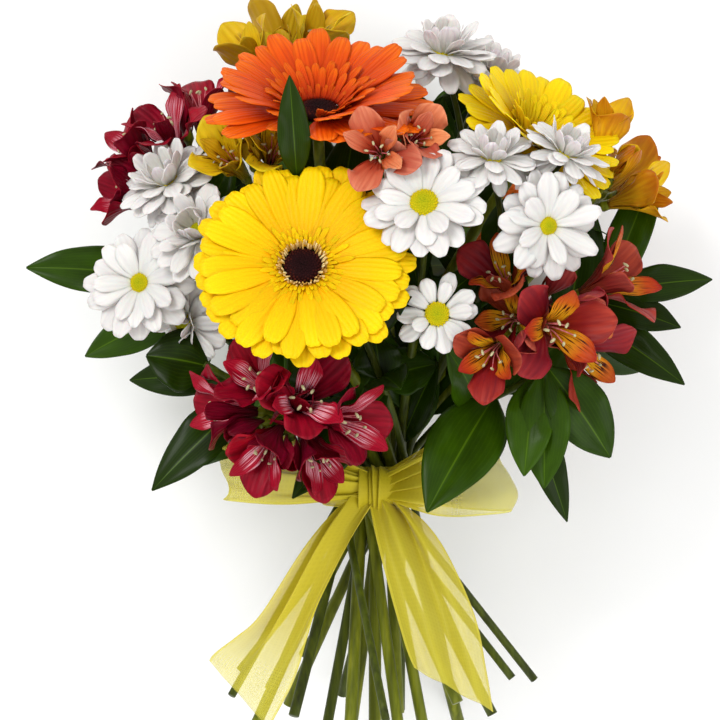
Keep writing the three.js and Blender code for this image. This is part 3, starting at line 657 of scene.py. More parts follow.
def ring(master, looks, centre, way, count, radius, kinds, turn=0, sink=0, loose=0.06, ruffle=0.3,
         kept_at=None):
    """Petals round a centre. kinds take turns: length, width, lift and bend of each. kept_at says
    which share of its length a petal has at an angle, or 0 for no petal."""
    across, upward = spokes(way)
    made = []
    for i in range(count):
        degrees = (turn + 360 * (i + chance.uniform(-1, 1) * loose * 2) / count) % 360
        kept = kept_at(degrees) if kept_at else 1
        if not kept:
            continue
        angle = math.radians(degrees)
        out = across * math.cos(angle) + upward * math.sin(angle)
        length, width, lift, bend = kinds[i % len(kinds)]
        place = stance(out, way, centre + out * radius - way * sink)
        made.append(grown(master, place, looks, about(length, loose) * kept, about(width, loose),
                          lift + stray(LIFT_STRAY, loose), bend + stray(BEND_STRAY, loose),
                          stray(TWIST_STRAY, loose), ruffle))
    return made


# %% [markdown]
# The copies of one bloom are joined into one piece, which takes the place of a node of the packed
# model. The lowest petals rest on the table, which presses them flat, so what would sink into it
# is laid down on it.

# %% Finishing a piece
SOFT_START = 1  # mm above the table, where the pressing begins


def joined(name, parts):
    activate(*parts)
    if len(parts) > 1:
        bpy.ops.object.join()
    whole = bpy.context.object
    whole.name = name
    whole.data.name = name
    return whole


def laid_down(piece):
    """Flattens what would sink into the table."""
    points = points_of(piece.data)
    heights = points[2::3] / (MM * SOFT_START)
    pressed_down = 1 / (2 - np.minimum(heights, 1))
    points[2::3] = np.where(heights < 1, pressed_down, heights) * MM * SOFT_START
    piece.data.vertices.foreach_set("co", points)
    piece.data.update()


def finished(name, parts, slot, *nodes):
    """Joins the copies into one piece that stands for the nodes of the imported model."""
    piece = joined(name, parts)
    laid_down(piece)
    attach(piece, "root")
    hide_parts(*nodes)
    return piece


# %% [markdown]
# ## Round pieces: stems, cups and florets
#
# A stem could be a row of cylinders, but those show a kink at each joint. A Bezier curve with a
# round section bends smoothly, so each stem is one. It is made a mesh, the open rings at its two
# ends are welded, and its cut end gets an inset face for the pith.

# %% Stalks
RIND = 0.22  # how much of a stem's radius lies round the pith


def clean(made):
    """Welds the open seams of the piece in edit mode and turns its faces outwards."""
    bpy.ops.mesh.select_all(action="SELECT")
    bpy.ops.mesh.remove_doubles(threshold=1e-6)
    bpy.ops.mesh.normals_make_consistent(inside=False)
    bpy.ops.object.mode_set(mode="OBJECT")
    bpy.ops.object.shade_smooth()
    return made


def stalk(knots, radii, look, handles=None, fine=2, steps=8):
    """A round stem through the knots, in mm. handles are the two control points of each knot."""
    bpy.ops.curve.primitive_bezier_curve_add()
    made = bpy.context.object
    made.location = (0, 0, 0)
    curve = made.data
    curve.dimensions = "3D"
    curve.resolution_u = steps
    curve.bevel_depth = MM
    curve.bevel_resolution = fine
    curve.use_fill_caps = True
    points = curve.splines[0].bezier_points
    points.add(len(knots) - 2)
    for i, point in enumerate(points):
        point.co = spot(*knots[i])
        point.radius = radii[i]
        point.handle_left_type = point.handle_right_type = "FREE" if handles else "AUTO"
        if handles:
            point.handle_left = spot(*handles[i][0])
            point.handle_right = spot(*handles[i][1])
    activate(made)
    bpy.ops.object.convert(target="MESH")
    made = bpy.context.object
    made.data.materials.clear()
    made.data.materials.append(look)
    bpy.ops.object.mode_set(mode="EDIT")
    return clean(made)


def cut_end(made, place, radius):
    """Sets the pale pith into the cut end of a stem."""
    made.data.materials.append(PITH)
    bpy.ops.object.mode_set(mode="EDIT")
    bpy.ops.mesh.select_mode(type="FACE")
    bpy.ops.mesh.select_all(action="DESELECT")
    shape = bmesh.from_edit_mesh(made.data)
    for face in shape.faces:
        at_end = (face.calc_center_median() - spot(*place)).length < radius * MM / 2
        if at_end and len(face.verts) > 4:
            face.select = True
    bmesh.update_edit_mesh(made.data)
    bpy.ops.mesh.inset(thickness=radius * RIND * MM)
    made.active_material_index = 1
    bpy.ops.object.material_slot_assign()
    bpy.ops.mesh.select_mode(type="VERT")
    bpy.ops.object.mode_set(mode="OBJECT")
    return made


# %% [markdown]
# A cup is a disc that is extruded and scaled again and again, as on a potter's wheel. A floret of a
# disc is a bead with a dimple. There are hundreds of them, so a bead has only two dozen faces.

# %% Cups and beads
DIMPLED = 0.45  # points above this share of a bead's height are pushed in


def cup(name, profile, look, sides=16):
    """A round piece about Z. profile: radius and height of each ring in mm, from the bottom up."""
    first, low = profile[0]
    bpy.ops.object.select_all(action="DESELECT")
    bpy.ops.mesh.primitive_circle_add(
        vertices=sides, radius=first * MM, fill_type="NGON", enter_editmode=True)
    made = bpy.context.object
    made.name = name
    bpy.ops.transform.translate(value=(0, 0, low * MM))
    for radius, high in profile[1:]:
        bpy.ops.mesh.extrude_region_move(TRANSFORM_OT_translate={"value": (0, 0, (high - low) * MM)})
        bpy.ops.transform.resize(value=(radius / first, radius / first, 1), center_override=(0, 0, 0))
        first, low = radius, high
    made.data.materials.append(look)
    return clean(made)


def bead(name, wide, tall, dimple, look):
    bpy.ops.object.select_all(action="DESELECT")
    bpy.ops.mesh.primitive_uv_sphere_add(segments=6, ring_count=4, radius=0.5, enter_editmode=True)
    made = bpy.context.object
    made.name = name
    bpy.ops.transform.resize(value=(wide * MM, wide * MM, tall * MM), center_override=(0, 0, 0))
    select_points(lambda vertex: vertex.co.z > tall * MM * DIMPLED)
    bpy.ops.transform.translate(value=(0, 0, -dimple * MM))
    made.data.materials.append(look)
    return clean(made)


# %% [markdown]
# The florets of a daisy's disc and of a gerbera's eye stand in the spiral that sunflowers show:
# each is turned by the golden angle from the last, a little further out. They sit on a dome, and
# the outer ones lean outwards.

# %% Discs and eyes
GOLDEN_ANGLE = 137.508
FRINGE_COUNT = 110


def spiral_turn(i):
    return Matrix.Rotation(math.radians(GOLDEN_ANGLE * i), 4, "Z")


def outwards(radius, height, lean):
    """Moves a floret out from the middle, in mm, and leans it over, in degrees."""
    out = Matrix.Translation(Vector((radius, 0, height)) * MM)
    return out @ Matrix.Rotation(math.radians(lean), 4, "Y")


def head(name, core, floret, count, radius, dome, lean):
    """A domed head of florets on a core. The tint runs from 0 in the middle to 1 at the rim."""
    made = [placed(core, Matrix(), tint=0.4)]
    for i in range(count):
        share = math.sqrt((i + 0.5) / count)
        size = Matrix.Scale(about(0.75 + 0.3 * share, 0.12), 4)
        place = spiral_turn(i) @ outwards(radius * share, dome * (1 - share ** 2), lean * share) @ size
        made.append(placed(floret, place, tint=min(max(share + chance.uniform(-0.15, 0.15), 0), 1)))
    return joined(name, made)


disc_core = cup("disc_core", [(3, -2.4), (7.2, -0.6), (7.4, 0.3), (5.4, 1.8), (2, 3)], DISC)
disc_floret = bead("disc_floret", 1.35, 2.2, 0.5, DISC)
daisy_disc = head("daisy_disc", disc_core, disc_floret, 120, 7.3, 3, 40)

eye_core = cup("eye_core", [(5, -3.4), (9, -2.6), (9.2, 0.6), (6, 2), (2, 2.6)], EYE)
eye_floret = bead("eye_floret", 1.5, 3, 0.6, EYE)
fringe_floret = bead("fringe_floret", 1, 4.6, 0.4, FRINGE)
plain_eye = head("plain_eye", eye_core, eye_floret, 130, 8.6, 2.2, 35)
fringe = [placed(plain_eye, Matrix())]
for i in range(FRINGE_COUNT):
    out = outwards(chance.uniform(9.4, 11.8), chance.uniform(0.8, 2.4), chance.uniform(10, 45))
    fringe.append(placed(fringe_floret, spiral_turn(i) @ out, tint=chance.random()))
gerbera_eye = joined("gerbera_eye", fringe)
print("disc", len(daisy_disc.data.polygons), "eye", len(gerbera_eye.data.polygons), "faces")

# %% [markdown]
# ## Where the stems run
#
# All the stems cross in the tie and spread below it, as a florist turns them in a spiral. Each is
# straight through the tie, at its own place in one of four rings, and curves above it to its
# flower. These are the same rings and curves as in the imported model.

# %% The spiral of stems
TIE_RINGS = ((0, 0), (6.5, 11), (13, 27.5), (18.4, 39))  # radius in mm and lean in degrees
STRAIGHT_ABOVE_TIE = 15
LEAVING, ARRIVING = 0.4, 0.35  # how far the control points lie from its ends, as shares of its span


def stem_route(slot, cut, to, arrival=None):
    """Cut end, start of the curve, its two control points, and its end. slot: ring and angle in the
    tie. cut: how far below the tie the stem is cut off."""
    radius, lean = TIE_RINGS[slot[0]]
    angle = math.radians(slot[1])
    tilt = math.radians(lean)
    way = Vector((-math.sin(angle) * math.sin(tilt), math.cos(tilt), math.cos(angle) * math.sin(tilt)))
    middle = Vector((radius * math.cos(angle), 0, radius * math.sin(angle)))
    start = middle + way * STRAIGHT_ABOVE_TIE
    arrival = arrival or (to - start).normalized()
    run = (to - start).length
    return middle - way * cut / way.y, start, start + way * run * LEAVING, to - arrival * run * ARRIVING, to


def on_curve(route, share):
    """A place on the curve of a route."""
    _, a, b, c, d = route
    rest = 1 - share
    return a * rest ** 3 + b * 3 * rest ** 2 * share + c * 3 * rest * share ** 2 + d * share ** 3


def stem(route, radius, look=STEM):
    """A stem along its route, a little thicker at the cut end than at the top."""
    end, start, leaving, arriving, to = route
    ahead = (start - end) * 0.33
    handles = [(end - ahead, end + ahead), (start - ahead, leaving), (arriving, to * 2 - arriving)]
    made = stalk([end, start, to], [radius * 1.06, radius, radius * 0.94], look, handles, fine=4, steps=14)
    return cut_end(made, end, radius)


# %% [markdown]
# Leaves also grow along the stems, inside the bouquet, where they close the gaps between blooms.
# They turn their upper side to the nearer face of the bouquet.

# %% Leaves inside the bouquet
FRONT_HALF = -12  # a leaf that grows above this height faces the camera


def leaves_along(route, shares, length, width):
    made = []
    for share in shares:
        root = on_curve(route, share)
        ahead = unit(chance.uniform(-0.8, 0.8), chance.uniform(0.4, 1), chance.uniform(-0.25, 0.25))
        face = unit(chance.uniform(-0.4, 0.4), 0.3, 1 if root.z > FRONT_HALF else -1)
        made.append(grown(leaf_blade, stance(ahead, face, root), LEAF, about(length, 0.15),
                          about(width, 0.15), 18, -40, twist=chance.uniform(-20, 20), ruffle=1.2))
    return made


# %% [markdown]
# ## Gerberas
#
# A gerbera is a composite flower. Two rings of broad ray florets take turns, a low one and a
# raised one. Shorter rays and a frill of thin ones stand inside them, round the dark eye. Below
# is a green cup of scales on a thick bare stem.

# %% One gerbera
GERBERA_STEM = 3
GERBERA_CUP_DEPTH = 16.1
GERBERA_CUP = cup("gerbera_cup", [
    (3.4, -GERBERA_CUP_DEPTH), (7, -12.6), (9.9, -8.1), (12.2, -4.6), (11.4, -3.9)], LEAF[1], 20)
CUP_SCALES = ((18, 12.5, 62), (18, 9, 50), (20, 6, 38))  # how many, how low, and their lift
RAY_ROOT = 11  # how far from the middle the broad rays begin


def gerbera_rays(looks, centre, way, reach, petals, rise, hood, frill, kept_at):
    """Two rings of broad rays, then two of fine ones."""
    low_lift, low_bend, high_lift, high_bend = rise
    long = reach - RAY_ROOT
    fine = long * frill

    def rays(master, count, radius, kinds, **how):
        return ring(master, looks, centre, way, count, radius, kinds, kept_at=kept_at, **how)

    made = rays(gerbera_ray, petals + 4, RAY_ROOT, [
        (long, 14.5, low_lift, low_bend),
        (long * 0.96, 14, low_lift + 6, low_bend - 4)], sink=0.8, loose=0.05)
    made += rays(gerbera_ray, petals, RAY_ROOT, [
        (long * 0.95, 13.5, high_lift, high_bend),
        (long * 0.88, 12.5, high_lift + 3, high_bend - 4)], turn=6, loose=0.06)
    made += rays(fine_ray, 40, 10.4, [
        (fine * 0.5, 4.4 * frill, high_lift + 4 + hood, high_bend),
        (fine * 0.38, 4 * frill, high_lift + 7 + hood, high_bend)], turn=4, loose=0.1)
    return made + rays(fine_ray, 44, 10, [
        (11 * frill, 2.8 * frill, high_lift + 14, high_bend - 10),
        (8 * frill, 2.4 * frill, high_lift + 24, high_bend - 10)], turn=2, sink=-0.3, loose=0.1)


def scale_ring_radius(low):
    """The cup narrows downwards, and its scales sit on it."""
    return 11.8 - (low - 4.5) * 0.85


def gerbera(name, looks, slot_name, at, facing, reach, petals, slot, cut, rise=(12, -14, 25, -22),
            eye=gerbera_eye, hood=0, frill=1, kept_at=None):
    """rise: lift and bend of the low and of the high rays. hood: how far the fine rays lean inwards.
    frill: how large the fine rays are."""
    centre = Vector(at)
    way = unit(*facing)
    rays = gerbera_rays(looks, centre, way, reach, petals, rise, hood, frill, kept_at)
    finished(f"gerbera_{name}_rays", rays, slot_name, f"gerbera_{name}_petals")
    across, _ = spokes(way)
    upright = stance(across, way, centre)
    finished(f"gerbera_{name}_disc", [placed(eye, upright)], "gerbera_eye", f"gerbera_{name}_eye")
    base = centre - way * GERBERA_CUP_DEPTH
    parts = [stem(stem_route(slot, cut, base + way * 2, way), GERBERA_STEM), placed(GERBERA_CUP, upright)]
    for count, low, lift in CUP_SCALES:
        parts += ring(sepal_blade, SEPAL, centre, way, count, scale_ring_radius(low),
                      [(9, 4.2, lift, -10)], turn=low * 7, sink=low)
    finished(f"gerbera_{name}_stalk", parts, "stems", f"gerbera_{name}_stem")
    print("gerbera", name, "with", len(rays), "rays")


# %% [markdown]
# The front one opens flat towards the camera. The top one and the right one face up the picture
# and are seen at a slant, and the back one faces the table.

# %% The four gerberas


def pressed(degrees):
    """A leaf has pushed some rays of the orange gerbera out, and the blooms beside it crop some more."""
    if 234 < degrees < 269:
        return 0
    return 0.6 if 222 < degrees < 318 else 1


gerbera("front", YELLOW, "yellow_petals", (-34.7, 109, 90), (0, 0.42, 0.91), 54, 28, (2, 30), 122,
        rise=(11, -14, 19, -19), frill=0.66)
gerbera("top", ORANGE, "orange_petals", (-27.8, 186, 60), (0, 0.86, 0.5), 55, 26, (0, 0), 132,
        rise=(11, -18, 34, -14), eye=plain_eye, hood=10, kept_at=pressed)
gerbera("right", LEMON, "yellow_petals", (80, 174, 30), (0.5, 0.74, 0.45), 45, 22, (1, -45), 118,
        rise=(8, -18, 32, -12), eye=plain_eye, hood=24)
gerbera("back", ORANGE, "orange_petals", (34, 128, -78.5), (-0.06, -0.03, -1), 50, 24, (1, 195), 128,
        eye=plain_eye)

# %% [markdown]
# ## Daisy chrysanthemums
#
# A spray chrysanthemum forks into thin branches, and each carries one daisy. Its white rays are
# flat and round-ended, in four rings round a disc, which is smaller while the bloom is young. A
# fuller bloom has two more inside, which still stand up and fold over the disc, and two more
# outermost. Those hang, or are level where a leaf lies below them.

# %% Where the daisies are
HANGING, LEVEL = -16, 6  # lift of the outermost rays
# Each spray: its fork, its slot in the tie and its cut. Each bloom: its place, where it faces, its
# reach, the size of its disc, and in a fuller one the lift of its outermost rays.
DAISIES = {
    "centre": ((21, 92, 56), (2, 0), 116, [
        ((23, 139, 92), (-0.1, 0.4, 0.9), 30, 0.95),
        ((29.4, 86, 86), (0, 0.1, 1), 20, 0.9)]),
    "right": ((62, 118, 46), (2, 330), 108, [
        ((82.8, 128.4, 80), (0.35, -0.1, 0.93), 28, 0.62),
        ((56, 162, 78), (0.1, 0.8, 0.6), 24, 0.8, HANGING),
        ((92, 164, 70), (0.45, 0.78, 0.42), 23, 0.8, HANGING)]),
    "left": ((-78, 104, 26), (2, 90), 112, [
        ((-115.2, 101.7, 46), (-0.35, 0.1, 0.93), 29, 0.66),
        ((-86, 126, 62), (-0.4, 0.4, 0.82), 27, 0.8, HANGING),
        ((-94, 82, 36), (-0.45, -0.35, 0.82), 24, 0.8, LEVEL),
        ((-102, 152, 36), (-0.45, 0.75, 0.5), 28, 0.8, HANGING)]),
    "top": ((44, 178, 2), (1, -105), 126, [
        ((34, 217, 14), (0.1, 0.9, 0.42), 28, 0.8, HANGING),
        ((58, 209, -20), (0.35, 0.88, 0.25), 27, 0.8, HANGING)]),
    "back": ((-28, 96, -46), (2, 210), 110, [
        ((-48, 134, -83.5), (0.05, -0.03, -1), 27, 1),
        ((-40, 78, -72), (-0.3, -0.35, -0.9), 24, 1)]),
}
UNDER_LEAF = ("left", 3)


def covered(degrees):
    """A leaf lies over one side of this daisy, and the rays below it stay short."""
    return 0.4 if 190 < degrees < 290 else 1


print("daisies", sum(len(blooms) for _, _, _, blooms in DAISIES.values()))

# %% Daisy sprays
DAISY_STEM = 2.5
DAISY_CUP_DEPTH = 7.7
DAISY_CUP = cup("daisy_cup", [
    (1.7, -DAISY_CUP_DEPTH), (4, -6), (6.2, -3.4), (6.4, -2.4), (5, -2.2)], LEAF[1], 14)
FULL_REACH = 28  # the reach of a daisy with a disc and rays of full size
DAISY_RAY_ROOT = 6  # how far from the middle its rays begin, under the rim of the disc
RAY_PITCH = 3.8  # a bloom has two of its lowest rays for each of these in its reach


def daisy_rays(centre, way, reach, young, size, full, kept_at):
    """Four rings of rays, and four more in a fuller bloom."""
    root = DAISY_RAY_ROOT * young
    long = reach - root
    lowest = 2 * round(reach / RAY_PITCH)

    def rays(count, radius, kinds, **how):
        kinds = [(long * share, width * size, lift, bend) for share, width, lift, bend in kinds]
        return ring(daisy_ray, WHITE, centre, way, count, radius, kinds, kept_at=kept_at, **how)

    made = rays(lowest, root, [(1, 12.5, 2, -14), (0.96, 12, 14, -22)], loose=0.1)
    made += rays(lowest - 5, root - 0.4, [(0.9, 11, 26, -32), (0.76, 10, 36, -34)], turn=11, loose=0.13)
    for hang in full:
        made += rays(14, root - 1, [(0.8, 9, 50, 4), (0.66, 8, 64, 30)], turn=20, loose=0.16)
        made += rays(lowest - 3, root - 0.4, [(0.95, 11, hang, -16), (0.85, 10, hang * 2, -14)],
                     turn=5, sink=0.6, loose=0.16)
    return made


for name, (fork, slot, cut, blooms) in DAISIES.items():
    fork = Vector(fork)
    route = stem_route(slot, cut, fork)
    climb = (fork - route[1]).normalized()
    parts = [stem(route, DAISY_STEM, DARK_STEM)]
    discs = []
    for number, (at, facing, reach, young, *full) in enumerate(blooms, 1):
        centre = Vector(at)
        way = unit(*facing)
        size = min(reach / FULL_REACH, 1)
        across, _ = spokes(way)
        upright = stance(across, way, centre) @ Matrix.Scale(0.55 + 0.45 * size, 4)
        base = centre - way * (DAISY_CUP_DEPTH - 1)
        elbow = (fork + base) / 2 + (climb - way) * (base - fork).length * 0.12
        parts.append(stalk([fork - climb * 2, elbow, base], [1.7, 1.5, 1.6], DARK_STEM))
        parts.append(placed(DAISY_CUP, upright))
        discs.append(placed(daisy_disc, upright @ Matrix.Scale(young, 4)))
        kept_at = covered if (name, number) == UNDER_LEAF else None
        rays = daisy_rays(centre, way, reach, young, size, full, kept_at)
        finished(f"daisy_{name}_{number}_rays", rays, "white_petals", f"daisy_{name}_{number}_petals")
    finished(f"daisy_{name}_discs", discs, "stems", f"daisy_{name}_spray")
    finished(f"daisy_{name}_stalks", parts, "stems", f"daisy_{name}_spray")
    leaves = leaves_along(route, (0.1, 0.3, 0.5, 0.7, 0.9), 44, 18)
    finished(f"daisy_{name}_leaves", leaves, "leaves", f"daisy_{name}_spray")
    print("daisy spray", name, "with", len(blooms), "blooms")

# %% [markdown]
# ## Alstroemerias
#
# An alstroemeria floret is a trumpet of six tepals: three broad ones, and three narrow ones that
# stand steeper between them. Six stamens with grey-green anthers lie in its throat.

# %% Stamens


def stamens():
    anther = bead("anther", 1.7, 3.8, 0.3, ANTHER)
    made = []
    for i in range(6):
        angle = math.radians(60 * i + 20)
        out = Vector((math.cos(angle), math.sin(angle), 0))
        high = chance.uniform(22, 29)
        knots = [out * 1.2 + Vector((0, 0, 1)), out * 2.2 + Vector((0, 0, high * 0.55)),
                 out * chance.uniform(4.5, 7.5) + Vector((1.5, 0, high))]
        filament = stalk(knots, [0.45, 0.4, 0.3], FILAMENT, fine=0, steps=5)
        filament.data.transform(Matrix.Translation(-TIE))
        made.append(filament)
        lean = Matrix.Rotation(chance.uniform(0.3, 1.2), 4, out.cross(Vector((0, 0, 1))))
        made.append(placed(anther, Matrix.Translation(knots[2] * MM) @ lean))
    bpy.data.objects.remove(anther)
    return joined("alstroemeria_stamens", made)


floret_stamens = stamens()
print("stamens", len(floret_stamens.data.polygons), "faces")

# %% [markdown]
# The petals of a floret could be one bell that is cut into lobes, but real tepals are free down to
# the ovary and overlap, so they are rings of three. A bud is three tepals that bend inwards. The
# dark red and the salmon sort are the most crumpled.

# %% An open floret and a bud
THROAT = 2.2  # how far from the middle the tepals begin


def floret(looks, lip, base, way, size, roll, steep, crumple):
    """steep: how many degrees more than usual the tepals stand up."""
    long = TEPAL_LENGTH * size
    bend = -46 + steep * 1.6
    made = ring(broad_tepal, looks, base, way, 3, THROAT, [(long, 22 * size, 72 + steep, bend)],
                turn=roll, loose=0.1, ruffle=1.5 * crumple)
    made += ring(narrow_tepal, lip, base, way, 3, THROAT, [(long, 12 * size, 83 + steep / 2, bend)],
                 turn=roll + 60, loose=0.1, ruffle=0.9 * crumple)
    across, _ = spokes(way)
    return made + [placed(floret_stamens, stance(across, way, base) @ Matrix.Scale(size, 4))]


def bud(looks, base, way, size, roll):
    long = TEPAL_LENGTH * size
    return ring(broad_tepal, looks, base, way, 3, THROAT, [(long * 0.9, 20 * size, 68, 44)],
                turn=roll, loose=0.04)


# %% [markdown]
# Each floret sits on an ovary at the end of a thin stalk, and the stalks meet in a core, above a
# whorl of narrow leaves. A bud fills the room between each two neighbouring florets.

# %% Where the florets are
# Each cluster: its tepals, its lips, the slot of their finish, its core, its slot in the tie and its
# cut. Each floret: its mouth, its roll, its size, and how many degrees steeper than usual it stands.
LILIES = {
    "red_left": (RED, RED_LIP, "red_tepals", (-88, 140, -6), (2, 120), 104, [
        ((-128, 176, 6), 0, 0.84), ((-130, 148, 14), 40, 0.84, 9), ((-106, 186, 24), 20, 0.84),
        ((-86, 202, 0), 50, 0.84), ((-114, 170, -32), 10, 0.84)]),
    "red_front": (RED, RED_LIP, "red_tepals", (-42, 38, 56), (2, 60), 106, [
        ((-32, 48, 100), 30, 1, 3), ((-60, 58, 94), 0, 0.92, 3), ((-6, 34, 88), 15, 0.95, 5),
        ((-82, 40, 72), 45, 0.88, 3), ((-56, 16, 80), 20, 0.86, 8), ((-24, 12, 80), 50, 0.86, 9)]),
    "yellow_left": (CITRON, CITRON, "gold_tepals", (-56, 144, 18), (1, 75), 120, [
        ((-74, 166, 56), 0, 0.85, 10), ((-48, 172, 64), 25, 0.85, 5)]),
    "yellow_top": (CITRON, CITRON, "gold_tepals", (-46, 196, -18), (1, 135), 130, [
        ((-26, 234, -2), 10, 0.92, 9), ((-66, 222, -6), 35, 0.9, 9), ((-46, 232, -40), 55, 1, 5)]),
    "salmon": (SALMON, SALMON, "salmon_tepals", (6, 160, 42), (1, 15), 114, [
        ((0, 165, 92), 0, 0.8, 3), ((23, 174, 82), 30, 0.74, 8)]),
    "gold_right": (GOLD, GOLD, "gold_tepals", (104, 138, 4), (2, 270), 102, [
        ((116, 186, 16), 20, 0.85, 12), ((140, 148, 14), 50, 0.85, 11), ((132, 160, -28), 5, 0.9, 9)]),
    "coral_right": (CORAL, CORAL_LIP, "coral_tepals", (72, 84, 34), (2, 300), 112, [
        ((52, 64, 94), 30, 0.86, 5), ((90, 78, 92), 0, 1), ((126, 108, 56), 15, 1), ((58, 110, 71), 45, 0.84),
        ((110, 62, 60), 25, 0.88), ((64, 84, 62), 10, 0.8)]),
    "red_back": (RED, RED_LIP, "red_tepals", (72, 84, -42), (2, 240), 118, [
        ((112, 96, -60), 0, 1), ((92, 56, -66), 30, 1), ((118, 122, -34), 15, 1)]),
}
BUD = 0.72  # its size beside an open floret
CLOSED = "closed"


def buds_between(florets):
    return [((Vector(one[0]) + Vector(other[0])) / 2, one[1], one[2] * BUD, CLOSED)
            for one, other in zip(florets, florets[1:])]


# %% Alstroemerias
LILY_STEM = 2.7
CORE_ABOVE_STEM = 4.8
FLORET_DEPTH = 30  # from the base of the tepals to the mouth of an open floret
SHORTEST_STALK = 10
OVARY_LENGTH = 6
WHORL = [(31, 9, 26, -50), (25, 7, 42, -40)]


def floret_stalk(core, base, way, across):
    """A thin stalk from the core that swells into the ovary under the tepals."""
    ovary = min(OVARY_LENGTH, (base - core).length * 0.6)
    foot = base - way * ovary
    elbow = (core + foot) / 2 + across * chance.uniform(-2, 2)
    return stalk([core, elbow, foot, base - way * ovary / 2, base + way * 1.5],
                 [1.5, 1.2, 1.4, 2.9, 2.4], STEM, steps=5)


for name, (looks, lip, slot_name, core, slot, cut, florets) in LILIES.items():
    core = Vector(core)
    climb = (core - stem_route(slot, cut, core)[1]).normalized()
    top = core - climb * CORE_ABOVE_STEM
    route = stem_route(slot, cut, top, climb)
    parts = [stem(route, LILY_STEM)]
    tepals = []
    crumple = 1.7 if looks in (RED, SALMON) else 1.25
    for at, roll, size, *steeper in florets + buds_between(florets):
        steep = steeper[0] if steeper else 0
        mouth = Vector(at)
        way = (mouth - core).normalized()
        base = core + way * max((mouth - core).length - FLORET_DEPTH * size, SHORTEST_STALK)
        if steep == CLOSED:
            tepals += bud(looks, base, way, size, roll)
        else:
            tepals += floret(looks, lip, base, way, size, roll, steep, crumple)
        parts.append(floret_stalk(core, base, way, spokes(way)[0]))
    finished(f"lily_{name}_blooms", tepals, slot_name, f"lily_{name}_florets")
    finished(f"lily_{name}_stalk", parts, "stems", f"lily_{name}_stem")
    leaves = ring(leaf_blade, LEAF, top - climb * 5, climb, 5, 1.2, WHORL, turn=20, ruffle=0.8)
    leaves += leaves_along(route, (0.12, 0.28, 0.44, 0.6, 0.76), 46, 16)
    finished(f"lily_{name}_leaves", leaves, "leaves", f"lily_{name}_stem")
    print("alstroemeria", name, "with", len(florets), "florets")

# %% [markdown]
# ## Leaves
#
# The foliage is broad and glossy. Each leaf leaves its stem at a share of the stem's curve and
# ends at a chosen tip, so its length and its direction follow from the two.

# %% Leafy stems
# Each stem: its tip, its slot in the tie and its cut. Each leaf: where it leaves, its tip, its width.
GREENS = {
    "left": ((-112, 110, -8), (3, 105), 92, [
        (0.95, (-173.6, 110, 4), 26), (0.8, (-146, 66, -22), 24), (0.65, (-92, 60, -52), 26),
        (0.9, (-70, 166, -4), 26), (0.5, (-72, 62, 10), 24)]),
    "lower_left": ((-84, 62, 40), (3, 75), 96, [
        (0.98, (-112, 66, 42), 34), (0.85, (-121, 54, 22), 20), (0.7, (-108.7, 0.5, 46), 26),
        (0.5, (-86, 12, 50), 18)]),
    "lower_right": ((84, 60, 56), (3, 315), 88, [
        (0.62, (25, -9, 72), 37), (0.9, (72, 8, 62), 24), (0.97, (82, 2, 56), 26),
        (1, (114.4, 16.7, 48), 30), (0.5, (34, 70, 66), 24), (0.8, (94, -15, 36), 18),
        (0.7, (96, 76, 16), 32), (0.5, (74, 106, 14), 30)]),
    "right": ((118, 98, 8), (3, 285), 94, [
        (0.86, (152, 52, 30), 22), (0.94, (151, 80, 20), 20), (1, (167.6, 104, 8), 20),
        (0.97, (142, 162, -8), 22), (0.7, (138, 60, -38), 24), (0.8, (106, 144, 8), 28)]),
    "front": ((-38, 152, 72), (3, 15), 118, [
        (1, (-41, 199, 99), 16), (0.45, (17, 94, 92), 20), (0.3, (12, 50, 78), 24),
        (0.25, (-40, -3, 56), 25), (0.7, (-10, 180, 26), 28), (0.5, (-22, 150, 20), 30),
        (0.3, (30, 62, 40), 26), (0.3, (0, 74, 40), 26), (0.6, (-34, 184, 16), 30)]),
    "back_left": ((-70, 120, -52), (3, 165), 108, [
        (1, (-112, 150, -56), 28), (0.9, (-84, 186, -52), 28), (0.6, (-64, 24, -76), 26),
        (0.95, (-74, 168, 0), 30), (0.8, (-96, 112, -4), 28), (0.6, (-60, 82, 0), 30)]),
    "back_right": ((28, 176, -52), (3, 225), 100, [
        (1, (62, 206, -54), 28), (0.95, (-6, 214, -58), 28), (0.55, (20, 34, -80), 26),
        (0.95, (56, 200, -14), 32), (0.9, (34, 196, -8), 32), (0.75, (64, 156, -10), 32),
        (0.6, (46, 110, 6), 30)]),
}
GREEN_STEM = 1.9
ARC_OVER_CHORD = 1.02  # a bent leaf is a little longer than the way from its root to its tip
LEAF_FACE = unit(0, 0.3, 1)

for name, (tip, slot, cut, leaves) in GREENS.items():
    route = stem_route(slot, cut, Vector(tip))
    parts = [stem(route, GREEN_STEM, DARK_STEM)]
    for share, to, width in leaves:
        root = on_curve(route, share)
        way = Vector(to) - root
        parts.append(grown(leaf_blade, stance(way.normalized(), LEAF_FACE, root), LEAF,
                           way.length * ARC_OVER_CHORD, width, 16, -32,
                           twist=chance.uniform(-14, 14), ruffle=1.2))
    finished(f"foliage_{name}", parts, "leaves", f"greenery_{name}")
    print("leafy stem", name, "with", len(leaves), "leaves")

# %% [markdown]
# ## Twine
#
# Under the ribbon, eight turns of jute twine hold the stems. It is one long coil, like the real
# one, and not eight hoops, so it is a stalk whose knots climb as they go round.

# %% Binding twine
TWINE_TURNS = 8
TWINE_PITCH = 1.3
TWINE_RADIUS = 22.15  # of the coil
TWINE_THICK = 0.6  # radius of the twine itself
POINTS_A_TURN = 12

